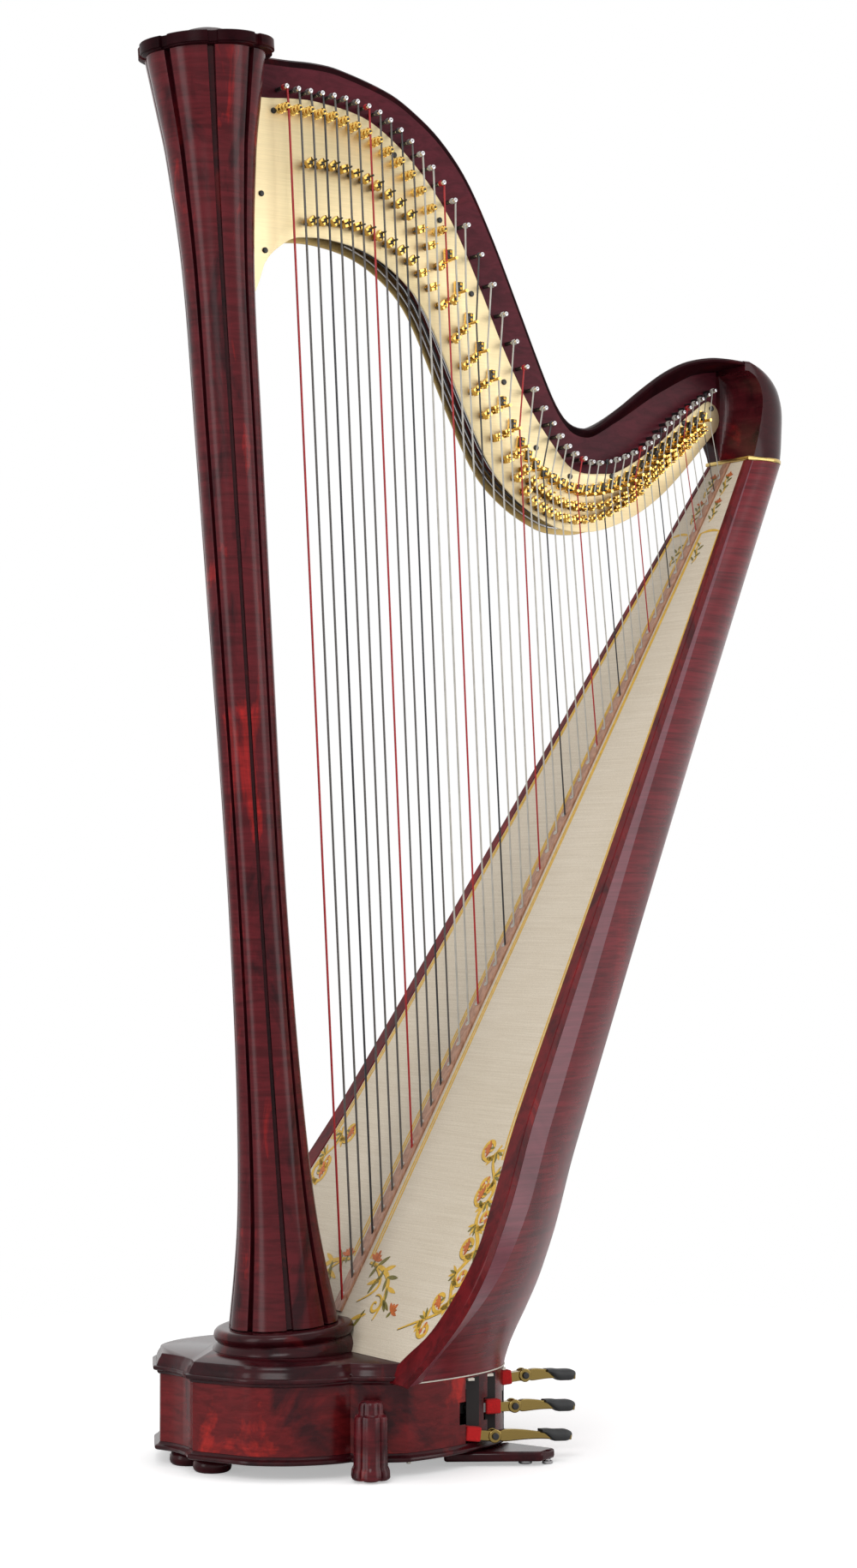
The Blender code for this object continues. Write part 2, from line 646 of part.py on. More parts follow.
def half_section(s, shrink=0.0):
    """One side of the soundbox section whose front edge is at s, as points from the front edge to the back."""
    half = curve_at(HALF_WIDTH, s)
    depth = box_depth(s)
    arc = back_arc(half, curve_at(CREASE_DEPTH, s), depth)
    front = board_point(s, 0, 0)
    if s >= FAN_FROM:
        inward, reach, blend = BOARD_IN, depth, 0.0
    else:
        high = board_point(FAN_FROM, 0, 0)
        pivot_far = (high.z - WALL_TOP - GAP) / cos(BOARD_ANGLE)
        pivot = high + BOARD_IN * pivot_far
        inward = (pivot - front).normalized()
        back = board_point(0, 0, BOX_DEPTH)
        along = (BOARD_UP - BOARD_IN * BOX_DEPTH_TAPER).normalized()
        apart = back - front
        reach = (apart.x * along.z - apart.z * along.x) / (inward.x * along.z - inward.z * along.x)
        lowest = (WALL_TOP + GAP - BOARD_Z) / sin(BOARD_ANGLE)
        blend = min(max((FAN_FROM - s) / (FAN_FROM - lowest), 0), 1) ** BLEND_POWER
    points = []
    rim = (BOARD_THICK + GAP) / (inward.dot(BOARD_IN) * reach)
    shape = [(rim, 1.0)] + [(d / depth, w / half) for d, w in arc]
    low_front = board_point((WALL_TOP + GAP - BOARD_Z) / sin(BOARD_ANGLE), 0, 0).x
    low_reach = BASE_REAR_X - low_front
    rear = [rear_outline(pi / 2 * (1 - i / BACK_STEPS)) for i in range(BACK_STEPS + 1)]
    low = [(rim, half)] + [((x - low_front) / low_reach, y) for x, y in rear]
    for i, (d, w) in enumerate(shape):
        part_depth = (1 - blend) * d + blend * low[i][0]
        wide = (1 - blend) * w * half + blend * low[i][1]
        if shrink:
            part_depth = part_depth if i == 0 else part_depth - shrink / reach * min(part_depth * 1.6, 1)
            wide -= shrink * min(wide / half * 1.25, 1)
        points.append((front + inward * (part_depth * reach), wide))
    return points


def c_ring(s):
    outer, inner = half_section(s), half_section(s, BOX_WALL)
    path = [p + ACROSS * w for p, w in outer] + [p - ACROSS * w for p, w in outer[-2::-1]]
    back = [p - ACROSS * w for p, w in inner] + [p + ACROSS * w for p, w in inner[-2::-1]]
    return path + back


def make_soundbox(top_cutter):
    lowest = (WALL_TOP + GAP - BOARD_Z) / sin(BOARD_ANGLE)
    places = [lowest, -0.05, 0.01, 0.07, 0.14, 0.22, FAN_FROM, 0.5, 0.75, 1.0, 1.2, 1.32, 1.40]
    mesh = loft_mesh("soundbox", [c_ring(s) for s in places], open_rings=True)
    shell = add_object("soundbox", mesh, parts, "lacquer")
    shade_round(shell, 30)
    boolean(shell, top_cutter, crosses_itself=True)
    bm = bmesh.new()
    turn = Matrix((BOARD_UP, ACROSS, BOARD_IN)).transposed().to_4x4()
    for s, half_long, half_wide in HOLE_PLACES:
        verts = bmesh.ops.create_cone(bm, cap_ends=True, segments=16, radius1=1, radius2=1, depth=1)["verts"]
        bmesh.ops.scale(bm, vec=(half_long, half_wide, 0.09), verts=verts)
        start = Matrix.Translation(board_point(s, 0, box_depth(s)))
        bmesh.ops.transform(bm, matrix=start @ turn, verts=verts)
    boolean(shell, add_object("sound_holes", mesh_from(bm, "sound_holes"), cutters), crosses_itself=True)
    return shell


def board_slab(name, finish, half_at, low, high, n_front, n_back, places, collection=parts):
    """A long flat piece on the board, with its half width given along it."""
    rings = []
    for s in places:
        inner, outer = half_at(s)
        corners = [(inner, n_front), (outer, n_front), (outer, n_back), (inner, n_back)]
        rings.append([board_point(s, y, n) for y, n in corners])
    return add_object(name, loft_mesh(name, rings), collection, finish)


def make_board_pieces(top_cutter):
    places = [BOARD_LOW, -0.0667, -0.03, 0.009, 0.045, 0.087, 0.125, 0.166, 0.22, 0.283, 0.5, 0.789, 1.05, 1.308]
    places.append(BOARD_HIGH)

    def whole(s):
        half = curve_at(HALF_WIDTH, s) - 0.0010
        return -half, half

    board = board_slab("soundboard", "spruce", whole, BOARD_LOW, BOARD_HIGH, 0, BOARD_THICK, places)
    boolean(board, top_cutter)
    edge_places = [EDGE_STRIP_LOW] + [s for s in places if s > EDGE_STRIP_LOW + 0.01]
    for side, sign in (("left", -1), ("right", 1)):
        def strip(s):
            return sign * curve_at(BOARD_HALF, s), sign * curve_at(HALF_WIDTH, s)

        name = "edge_strip_" + side
        made = board_slab(name, "dark_lacquer", strip, BOARD_LOW, BOARD_HIGH, -STRIP_THICK - GAP, -GAP, edge_places)
        boolean(made, top_cutter)
    rib = board_slab("inner_string_rib", "spruce", lambda s: (-RIB_HALF, RIB_HALF), RIB_LOW, RIB_HIGH,
                     BOARD_THICK + GAP, BOARD_THICK + GAP + RIB_DEPTH, [RIB_LOW, RIB_HIGH])
    boolean(rib, top_cutter)


def body_outline(height, grow, count=7):
    """Horizontal section of the soundbox at a height, from the near front corner round the back."""
    def at(n):
        s = (height - BOARD_Z + n * cos(BOARD_ANGLE)) / sin(BOARD_ANGLE)
        half, depth, crease = curve_at(HALF_WIDTH, s), box_depth(s), curve_at(CREASE_DEPTH, s)
        rise = depth - crease
        radius = (half * half + rise * rise) / (2 * rise)
        offset = n - (depth - radius)
        wide = half if n < crease else sqrt(max(radius * radius - offset * offset, 0))
        return board_point(s, 0, n).x, min(wide, half)

    depth_here = BOX_DEPTH
    for _ in range(20):
        s = (height - BOARD_Z + depth_here * cos(BOARD_ANGLE)) / sin(BOARD_ANGLE)
        depth_here = box_depth(s)
    near = []
    for i in range(count + 1):
        x, wide = at(depth_here * sin(pi / 2 * i / count))
        near.append((x, wide + grow))
    near[-1] = (near[-1][0] + grow, 0.0)
    near[0] = (near[0][0] - grow, near[0][1])
    return [(x, -y) for x, y in near] + near[-2::-1]


def make_band():
    low = BODY_TOP + GAP
    outline = body_outline(low, BAND_PROUD)
    rings = [[Vector((x, y, z)) for x, y in outline] for z in (low, low + BAND_THICK)]
    add_object("shoulder_band", loft_mesh("shoulder_band", rings), parts, "brass")


# Neck and shoulder
def smooth_step(low, high, place):
    t = min(max((place - low) / (high - low), 0), 1)
    return t * t * (3 - 2 * t)


def neck_bottom(x):
    open_channel = CHANNEL * smooth_step(0.0, 0.05, x) * (1 - 0.6 * smooth_step(0.60, 0.70, x))
    return curve_at(PLATE_LOW, x) + open_channel


def neck_section(x):
    top = curve_at(NECK_TOP, x)
    share = min(max((x - VISOR_FROM) / (JOINT_X - VISOR_FROM), 0), 1) ** 1.2
    front = NECK_FRONT - VISOR_OUT * share
    drop = curve_at(VISOR_DROP, x)
    low = neck_bottom(x)
    outline = [(NECK_BACK, low), (NECK_BACK, top), (front, top), (front - 0.00001, top - VISOR_EDGE)]
    outline += [(NECK_FRONT, top - VISOR_EDGE - drop), (NECK_FRONT, low)]
    return [Vector((x, y, z)) for y, z in outline]


def make_neck(column_clearance):
    places = [-0.10, -0.075, -0.058, -0.0424, -0.0321, -0.0062, 0.0186, 0.05, 0.081, 0.12, 0.162, 0.20, 0.235]
    places += [0.27, 0.30, 0.33, 0.36, 0.39, 0.4135, 0.435, 0.456, 0.476, 0.495, 0.52, 0.55, 0.582, 0.61, 0.64]
    places += [0.67, 0.69, JOINT_X - GAP]
    neck = add_object("neck", loft_mesh("neck", [neck_section(x) for x in places]), parts, "lacquer")
    boolean(neck, column_clearance)


def plate_outline():
    low = [-0.10, -0.075, -0.0424, -0.0321, -0.0062, 0.0186, 0.05, 0.0781, 0.11, 0.1384, 0.17, 0.1913, 0.2229, 0.25]
    low += [0.2796, 0.305, 0.3244, 0.345, 0.3696, 0.395, 0.4239, 0.4571, 0.48, 0.5053, 0.535, 0.5674, 0.597]
    low += [0.6244, 0.66, 0.7007]
    high = [0.6886, 0.655, 0.625, 0.5945, 0.565, 0.5349, 0.5054, 0.4762, 0.4544, 0.4327, 0.41, 0.3897, 0.37, 0.3471]
    high += [0.325, 0.3049, 0.285, 0.263, 0.242, 0.2215, 0.198, 0.1735, 0.147, 0.1194, 0.083, 0.046, 0.0065]
    high += [-0.03, -0.10]
    outline = [(x, curve_at(PLATE_LOW, x)) for x in low] + PLATE_END[::-1]
    return outline + [(x, curve_at(PLATE_HIGH, x)) for x in high]


def make_plates(column_clearance, spindle_holes):
    front = flat_plate("action_plate_front", plate_outline(), PLATE_FRONT_Y, PLATE_THICK, "satin_gold")
    boolean(front, column_clearance)
    boolean(front, spindle_holes)
    back = flat_plate("action_plate_back", plate_outline(), NECK_BACK + GAP, PLATE_THICK, "satin_gold")
    boolean(back, column_clearance)


def shoulder_ring(height):
    share = smooth_step(1.3585, 1.41, height)
    near = SHOULDER_HALF_LOW + share * (VISOR_OUT - NECK_FRONT - SHOULDER_HALF_LOW)
    far = SHOULDER_HALF_LOW + share * (NECK_BACK - SHOULDER_HALF_LOW)
    middle, half = (far - near) / 2, (far + near) / 2
    front, back = curve_at(SHOULDER_FRONT, height), curve_at(SHOULDER_BACK, height)
    start = front + 0.010
    ring = [Vector((front, -near, height)), Vector((start, -near, height))]
    for i in range(1, 10):
        angle = -pi / 2 + pi * i / 10
        x = start + (back - start) * max(cos(angle), 0) ** 0.85
        ring.append(Vector((x, middle + half * sin(angle), height)))
    return ring + [Vector((start, far, height)), Vector((front, far, height))]


def make_shoulder():
    low = BODY_TOP + GAP + BAND_THICK + GAP
    heights = [low, 1.375, 1.39, 1.405, 1.425, 1.4415, 1.456, 1.4686, 1.479, 1.488, 1.4945, 1.4985]
    shoulder = add_object("shoulder", loft_mesh("shoulder", [shoulder_ring(z) for z in heights]), parts, "lacquer")
    shade_round(shoulder, 35)
    out = VISOR_OUT
    arc = [pi / 2 * i / 8 for i in range(9)]
    outline = [(SCOOP_X + SCOOP_WIDE * cos(a), NECK_FRONT - out + out * sin(a)) for a in arc]
    left, open_side = JOINT_X - SCOOP_PAST, NECK_FRONT - out - SCOOP_PAST
    outline += [(left, NECK_FRONT), (left, open_side), (SCOOP_X + SCOOP_WIDE, open_side)]
    rings = [[Vector((x, y, z)) for x, y in outline] for z in (SCOOP_BOTTOM, SCOOP_TOP)]
    boolean(shoulder, add_object("scoop", loft_mesh("scoop", rings), cutters))


# Strings
def anchor_place(number):
    steps = [k + 0.5 for k in range(number - 1)]
    return FIRST_ANCHOR + sum(GAP_BASS - GAP_SLOPE * k - GAP_CURVE * k * k for k in steps)


def string_points(number):
    anchor = board_point(anchor_place(number), STRING_Y, -STRIP_THICK / 2)
    nut = Vector((curve_at(NUT_X, number), STRING_Y, curve_at(NUT_Z, number)))
    pin = Vector((curve_at(PIN_X, number), STRING_Y, curve_at(PIN_Z, number)))
    return anchor, nut, pin


def string_radius(number):
    share = (number - 1) / (STRINGS - 1)
    return STRING_R_BASS + (STRING_R_TREBLE - STRING_R_BASS) * share


def make_strings():
    half_low, half_high = CENTRE_HALF_LOW, CENTRE_HALF_HIGH
    low, high = anchor_place(1) - STRIP_MARGIN, BOARD_HIGH

    def half_at(s):
        half = half_low + (half_high - half_low) * (s - low) / (high - low)
        return -half, half

    strip = board_slab("strings", "strip", half_at, low, high, -STRIP_THICK - GAP, -GAP, [low, high])
    curve = bpy.data.curves.new("wires", "CURVE")
    curve.dimensions = "3D"
    curve.bevel_depth = 1.0
    curve.bevel_resolution = 1
    curve.use_fill_caps = True
    for number in range(1, STRINGS + 1):
        spline = curve.splines.new("POLY")
        points = string_points(number)
        spline.points.add(len(points) - 1)
        for point, place in zip(spline.points, points):
            point.co = (*place, 1)
            point.radius = string_radius(number)
    drawn = bpy.data.objects.new("wires", curve)
    parts.objects.link(drawn)
    wires = fixed_mesh(drawn)
    bpy.data.objects.remove(drawn)
    bm = bmesh.new()
    bm.from_mesh(wires)
    upright = Matrix.Rotation(radians(-90), 4, "X")
    for number in range(1, STRINGS + 1):
        pin = string_points(number)[2]
        cylinder_bm(bm, PIN_R, PIN_FRONT, NECK_FRONT - GAP, 6, Vector((pin.x, 0, pin.z)), upright)
    tool = add_object("wires_and_pins", mesh_from(bm, "wires_and_pins"), cutters)
    boolean(strip, tool, "UNION", crosses_itself=True)
    boolean(strip, top_cutter)


# Fork discs
def disc_place(number, share):
    anchor, nut, _ = string_points(number)
    return nut + (anchor - nut) * share


def disc_rows():
    for step, pedal in enumerate(DISC_NOTES):
        for kind, share in (("natural", NATURAL_SHARE), ("sharp", SHARP_SHARE)):
            yield "disc_" + kind + "_" + pedal, pedal, DISC_FIRST + step, share


def notch_at_rest(pedal_name):
    return next(p[3] for p in PEDALS if p[0] == pedal_name)


def make_discs():
    turn = Matrix.Rotation(radians(-90), 4, "X")
    front = PLATE_FRONT_Y - GAP
    for name, pedal, number, share in disc_rows():
        place = disc_place(number, share)
        bm = bmesh.new()
        cylinder_bm(bm, DISC_R, front - DISC_BACK, front, 12, turn=turn)
        obj = add_object(name, mesh_from(bm, name), parts, "gold")
        bm = bmesh.new()
        cylinder_bm(bm, SPINDLE_R, front - 0.001, PLATE_FRONT_Y + PLATE_THICK - GAP, 10, turn=turn)
        angle = DISC_OPEN + (1 - notch_at_rest(pedal)) * DISC_STEP
        for side in (-1, 1):
            centre = Vector((side * PRONG_PLACE_R * cos(angle), 0, side * PRONG_PLACE_R * sin(angle)))
            cylinder_bm(bm, PRONG_R, STRING_Y - 0.003, front - DISC_BACK + 0.001, 6, centre, turn)
        tool = add_object(name + "_prongs", mesh_from(bm, name + "_prongs"), cutters)
        for piece in (obj, tool):
            piece.location = (place.x, 0, place.z)
        boolean(obj, tool, "UNION")


def make_spindle_holes():
    turn = Matrix.Rotation(radians(-90), 4, "X")
    bm = bmesh.new()
    for _, _, number, share in disc_rows():
        place = disc_place(number, share)
        low, high = PLATE_FRONT_Y - 0.002, PLATE_FRONT_Y + PLATE_THICK + 0.002
        cylinder_bm(bm, SPINDLE_R + RUNNING, low, high, 10, Vector((place.x, 0, place.z)), turn)
    return add_object("spindle_holes", mesh_from(bm, "spindle_holes"), cutters)


# Pedals
def rod_places():
    for i, pedal in enumerate(PEDALS):
        angle = 2 * pi * i / len(PEDALS)
        yield pedal[0], Vector((ROD_RING_R * cos(angle), ROD_RING_R * sin(angle), 0))


def make_rod_holes():
    bm = bmesh.new()
    for _, centre in rod_places():
        cylinder_bm(bm, ROD_R + RUNNING, WALL_TOP - 0.01, COLUMN_BOTTOM + 0.01, 8, centre)
    return leaned(add_object("rod_holes", mesh_from(bm, "rod_holes"), cutters))


def lever_slope(pedal):
    axle, slot, _ = pedal_line(pedal)
    return atan2(pedal[3] * NOTCH, (slot - axle).length)


def toe_pin(pedal):
    axle, slot, direction = pedal_line(pedal)
    reach = (slot - axle).length + TOE_PIN_OUT
    slope = lever_slope(pedal)
    return axle + direction * (reach * cos(slope)) + Vector((0, 0, reach * sin(slope)))


def make_pedals():
    bm = bmesh.new()
    sideways = Matrix.Rotation(radians(90), 4, "X")
    cylinder_bm(bm, AXLE_R, -AXLE_HALF, AXLE_HALF, 12, Vector((AXLE_X, 0, AXLE_Z)), sideways)
    add_object("pedal_axle", mesh_from(bm, "pedal_axle"), parts, "steel")
    for pedal in PEDALS:
        name = pedal[0]
        axle, slot, direction = pedal_line(pedal)
        plan = plan_turn(direction)
        tilt = plan @ Matrix.Rotation(-lever_slope(pedal), 4, "Y")
        reach = (slot - axle).length + TOE_PIN_OUT
        bm = bmesh.new()
        end = reach - TOE_R - LEVER_SHORT
        box_bm(bm, (0, -LEVER_HALF_WIDE, -LEVER_HALF_TALL), (end, LEVER_HALF_WIDE, LEVER_HALF_TALL), tilt)
        lever = add_object("pedal_" + name, mesh_from(bm, "pedal_" + name), parts, "steel")
        bm = bmesh.new()
        hub_half = LEVER_HALF_WIDE + HUB_PROUD
        cylinder_bm(bm, HUB_R, -hub_half, hub_half, 16, turn=sideways)
        hub = add_object("hub_" + name, mesh_from(bm, "hub_" + name), cutters)
        bm = bmesh.new()
        ear_in = LEVER_HALF_WIDE - FORK_GRIP
        ear_out = ear_in + FORK_EAR
        start = reach - TOE_R - FORK_ROOT
        for side in (-1, 1):
            low, high = sorted((side * ear_in, side * ear_out))
            box_bm(bm, (start, low, -FORK_HALF_TALL), (reach + FORK_PAST_PIN, high, FORK_HALF_TALL), tilt)
        pin_turn = tilt @ Matrix.Translation((reach, 0, 0)) @ sideways
        cylinder_bm(bm, TOE_PIN_R, -ear_out + PIN_INSET, ear_out - PIN_INSET, 8, turn=pin_turn)
        fork = add_object("fork_" + name, mesh_from(bm, "fork_" + name), cutters)
        bm = bmesh.new()
        cylinder_bm(bm, AXLE_R + RUNNING, -BORE_REACH, BORE_REACH, 12, turn=sideways)
        bore = add_object("bore_" + name, mesh_from(bm, "bore_" + name), cutters)
        for piece in (lever, hub, fork, bore):
            piece.location = axle
        boolean(lever, hub, "UNION")
        boolean(lever, fork, "UNION", crosses_itself=True)
        boolean(lever, bore)
        make_toe(pedal, plan, sideways)


def make_toe(pedal, plan, sideways):
    name, toe_long, toe_slope = pedal[0], pedal[4], radians(pedal[5])
    inner = LEVER_HALF_WIDE - FORK_GRIP - GAP
    tilt = plan @ Matrix.Rotation(-toe_slope, 4, "Y")
    bm = bmesh.new()
    box_bm(bm, (0, -inner, -TOE_HALF_TALL), (toe_long - TOE_CAP_LONG / 2, inner, TOE_HALF_TALL), tilt)
    toe = add_object("pedal_toe_" + name, mesh_from(bm, "pedal_toe_" + name), parts, "brass")
    bm = bmesh.new()
    cylinder_bm(bm, TOE_R, -inner, inner, 12, turn=tilt @ sideways)
    eye = add_object("toe_eye_" + name, mesh_from(bm, "toe_eye_" + name), cutters)
    bm = bmesh.new()
    near, far = (toe_long - TOE_CAP_LONG, -TOE_CAP_HALF, -TOE_CAP_TALL / 2), (toe_long, TOE_CAP_HALF, TOE_CAP_TALL / 2)
    box_bm(bm, near, far, tilt)
    cap = add_object("toe_cap_" + name, mesh_from(bm, "toe_cap_" + name), cutters)
    bm = bmesh.new()
    cylinder_bm(bm, TOE_PIN_R + RUNNING, -BORE_REACH, BORE_REACH, 8, turn=tilt @ sideways)
    bore = add_object("toe_bore_" + name, mesh_from(bm, "toe_bore_" + name), cutters)
    for piece in (toe, eye, cap, bore):
        piece.location = toe_pin(pedal)
    boolean(toe, eye, "UNION")
    boolean(toe, cap, "UNION")
    boolean(toe, bore)


def make_rods():
    for name, centre in rod_places():
        bm = bmesh.new()
        cylinder_bm(bm, ROD_R, ROD_LOW, COLUMN_TOP - ROD_BELOW_TOP, 8)
        rod = add_object("pedal_rod_" + name, mesh_from(bm, "pedal_rod_" + name), parts, "steel")
        rod.location = LEAN_TURN @ centre
        leaned(rod)


board_turn = Matrix.Translation(BOARD_POINT) @ Matrix((BOARD_UP, ACROSS, BOARD_IN)).transposed().to_4x4()
board_cutter = box_cutter("behind_board", (-0.4, -0.5, -GAP), (1.6, 0.5, 0.6), board_turn)
top_cutter = box_cutter("above_body", (0.4, -0.3, BODY_TOP), (1.2, 0.3, BODY_TOP + 0.4))
base_top_cutter = box_cutter("below_ring", (-0.3, -0.3, 0.0), (0.3, 0.3, BASE_TOP + 2 * GAP))
clearances = [(-0.01, GAP), (FLOOR_BOTTOM - GAP, GAP), (FLOOR_BOTTOM - 2 * GAP, MOULD_CLEAR)]
clearances += [(FLOOR_TOP + 0.002, MOULD_CLEAR), (FLOOR_TOP + 0.006, 2 * GAP), (WALL_TOP + 0.05, 2 * GAP)]
clear_rings = [base_ring(z, grow) for z, grow in clearances]
base_clearance = add_object("base_clearance", loft_mesh("base_clearance", clear_rings), cutters)
rod_hole_cutter = make_rod_holes()
column_clearance = make_column_clearance()

make_column()
make_crown()
make_foot_ring(board_cutter, base_top_cutter)
make_base(board_cutter)
make_feet()
make_soundbox(top_cutter)
make_board_pieces(top_cutter)
make_band()
make_neck(column_clearance)
make_plates(column_clearance, make_spindle_holes())
make_shoulder()
make_strings()
make_discs()
make_pedals()
make_rods()
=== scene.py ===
"""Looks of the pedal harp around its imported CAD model.

Sizes are in metres, and in millimetres inside mm(), in the harp's own frame, where the column's foot is on
x = 0 and the strings hang near y = 0. CENTRE_X shifts that frame to the CAD's, and GAP is the room between
parts that touch.
"""
import random
from math import atan2, cos, pi, radians, sin, sqrt, tau

import bmesh
import bpy
from mathutils import Matrix, Vector


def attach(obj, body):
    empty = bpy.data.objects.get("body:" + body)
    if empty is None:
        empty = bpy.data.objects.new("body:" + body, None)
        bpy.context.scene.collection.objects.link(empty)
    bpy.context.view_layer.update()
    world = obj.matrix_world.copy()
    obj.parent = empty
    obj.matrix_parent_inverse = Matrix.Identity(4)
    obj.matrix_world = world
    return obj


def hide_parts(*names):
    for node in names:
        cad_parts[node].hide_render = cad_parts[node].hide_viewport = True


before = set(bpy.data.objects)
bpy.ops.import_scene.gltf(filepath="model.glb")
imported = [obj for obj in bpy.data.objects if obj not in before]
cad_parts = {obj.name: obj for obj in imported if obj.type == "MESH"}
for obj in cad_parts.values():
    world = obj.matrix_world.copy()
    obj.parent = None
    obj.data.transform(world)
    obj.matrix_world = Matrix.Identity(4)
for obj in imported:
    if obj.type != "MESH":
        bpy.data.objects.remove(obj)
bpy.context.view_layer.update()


def mm(*points):
    """Pairs of millimetres as pairs of metres."""
    return [(a / 1000, b / 1000) for a, b in points]


CENTRE_X = 0.2943
GAP = 0.0003
FLOOR_HALF = 14
UP = (0, 0, 1)
LEAN = radians(4.17)
LEAN_TURN = Matrix.Rotation(-LEAN, 4, "Y")
SHIFT = Matrix.Translation((-CENTRE_X, 0, 0))

# Column, in its own leaning frame
COLUMN_PROFILE = mm(
    (178.2, 72.5), (247, 61.5), (314, 53), (404, 46.7), (527.5, 41.9), (706, 39), (840, 39), (1108, 41.8),
    (1331, 44.6), (1549, 48), (1700, 60), (1767, 70), (1830, 80)
)
RING_TOP = 0.1767
COLUMN_TOP = 1.83
RIM_R = 0.0902
RIM_SHIFT = 0.0022
RIM_TALL = 0.0175

# Base
BASE_TOP = 0.1433
WALL_TOP = 0.117
FLOOR_BOTTOM = 0.0195
WALL_LOW, WALL_THICK, WELL_R = 0.0308, 0.01, 0.055
BASE_REAR_X, BASE_SIDE_X, BASE_HALF = 0.279, 0.05, 0.204
FRONT_FACE = mm((-160, 0), (-162.5, 24), (-170, 44.5))
FRONT_BOW = mm(
    (-170, 44.5), (-159, 67), (-142, 100), (-127.5, 125), (-95, 150), (-60, 163.5), (-30, 168.5),
    (-10, 166.5)
)
SIDE_BOW = mm((-10, 166.5), (5, 181), (30, 195), (50, 204))

# Soundboard plane: s up the board, y across, n back into the box
BOARD_ANGLE = radians(60.97)
BOARD_POINT = Vector((0.08, 0, 0.2067))
BOARD_UP = Vector((cos(BOARD_ANGLE), 0, sin(BOARD_ANGLE)))
BOARD_IN = Vector((sin(BOARD_ANGLE), 0, -cos(BOARD_ANGLE)))
ACROSS = Vector((0, 1, 0))
BOARD_TURN = Matrix((BOARD_UP, ACROSS, BOARD_IN)).transposed().to_4x4()
UPRIGHT, ALONG_BOARD = (0, 0, 0), (0, BOARD_ANGLE - pi / 2, 0)
BODY_TOP = 1.353
HALF_WIDTH = mm(
    (-150, 190), (-92, 235.4), (-40, 266), (9, 283.9), (62.6, 288.2), (110, 282.8), (166, 272.4),
    (283, 239.6), (789, 142.7), (1308, 49.8), (1450, 25)
)
BOARD_HALF = mm(
    (-150, 145), (-66.7, 205.1), (-29.7, 235.6), (23.2, 253.4), (86.8, 258.6), (156, 243.2), (281, 212.4),
    (777, 130.7), (1308.5, 41.3), (1450, 18)
)
CREASE_DEPTH = mm((-150, 30), (300, 33), (800, 17.6), (1310, 8), (1450, 6))
BOX_DEPTH, BOX_DEPTH_TAPER = 0.2195, 0.1085
FAN_FROM = 0.3
BOARD_END = 1.4
FACET_ANGLE = radians(79.25)
FAR_SHARE = 0.96
BLEND_POWER = 4
BACK_STEPS = 18
HOLE_PLACES = [
    (0.33, 0.07, 0.05), (0.56, 0.062, 0.043), (0.77, 0.055, 0.036), (0.96, 0.047, 0.029),
    (1.12, 0.038, 0.022),
]

# Strings, numbered from the bass
STRINGS = 47
STRING_Y = -0.003
# Number, x and z in millimetres of some nuts and tuning pins
NUTS = [
    (1, -9.5, 1776.8), (5, 63.6, 1773.8), (8, 116.3, 1757.9), (10, 150.6, 1737.5), (12, 185.4, 1709.3),
    (15, 235.6, 1638.9), (18, 285.5, 1517.3), (22, 356.2, 1376.6), (25, 394.8, 1323.3), (30, 466.7, 1294.1),
    (35, 537.7, 1310.2), (40, 600.3, 1355.1), (47, 682, 1412.9),
]
PINS = [
    (1, -14.6, 1802.1), (8, 112, 1791.7), (12, 179.7, 1752.5), (16, 249, 1680), (18, 292.5, 1610),
    (20, 331.5, 1532), (22, 366.5, 1462), (24, 397.5, 1407.5), (26, 425, 1371), (28, 450, 1348),
    (31, 492.2, 1338.3), (36, 564.1, 1363.7), (41, 623, 1412.1), (47, 690, 1455.7),
]
RED_STRINGS = range(1, STRINGS + 1, 7)
BLACK_STRINGS = range(4, STRINGS + 1, 7)
LAST_WIRE = 12
LAST_BASS = 15
FIRST_TREBLE = 30
SOLID_DISCS = range(16, 23)

# Neck and plates
PLATE_FRONT_Y = 0.018
PLATE_THICK = 0.003
NECK_FRONT = 0.0213
NECK_BACK = 0.0633
JOINT_X = 0.712
NECK_TOP = mm(
    (-120, 1846), (0, 1846.5), (43, 1848), (81, 1845), (162, 1823), (203, 1801), (246, 1768), (289, 1717.2),
    (331, 1641.3), (373.3, 1551), (415.3, 1459.9), (436.6, 1419.5), (456.2, 1396.4), (475.7, 1389),
    (494.8, 1392.4), (532.7, 1420.8), (589, 1467.1), (626.3, 1488.4), (663.4, 1497.4), (690, 1497.4),
    (712, 1494.8)
)
PLATE_LOW = mm(
    (-120, 1450), (-75, 1470), (-42.4, 1541.9), (-32.1, 1571.4), (-6.2, 1596.9), (18.6, 1608.7),
    (78.1, 1609.2), (138.4, 1593.5), (191.3, 1558), (222.9, 1516.5), (279.6, 1401.5), (324.4, 1320.9),
    (369.6, 1277.6), (423.9, 1248.8), (457.1, 1242.3), (505.3, 1246.4), (567.4, 1271.9), (624.4, 1313.3),
    (700.7, 1392.5)
)
PLATE_HIGH = mm(
    (-120, 1786), (-30, 1789.6), (6.5, 1793.1), (46, 1793.6), (119.4, 1780.9), (173.5, 1749.1),
    (221.5, 1704.3), (263, 1648.8), (304.9, 1569.2), (347.1, 1481.6), (389.7, 1407.7), (432.7, 1353.5),
    (454.4, 1332.2), (476.2, 1325.3), (505.4, 1326.1), (534.9, 1330.5), (594.5, 1366.3), (655, 1416.2),
    (688.6, 1441)
)
PLATE_END = mm(
    (695.5, 1443.2), (701.5, 1441.2), (707.5, 1437.5), (712, 1431.5), (714.5, 1424), (714.8, 1416),
    (712.8, 1408), (708, 1400.5)
)
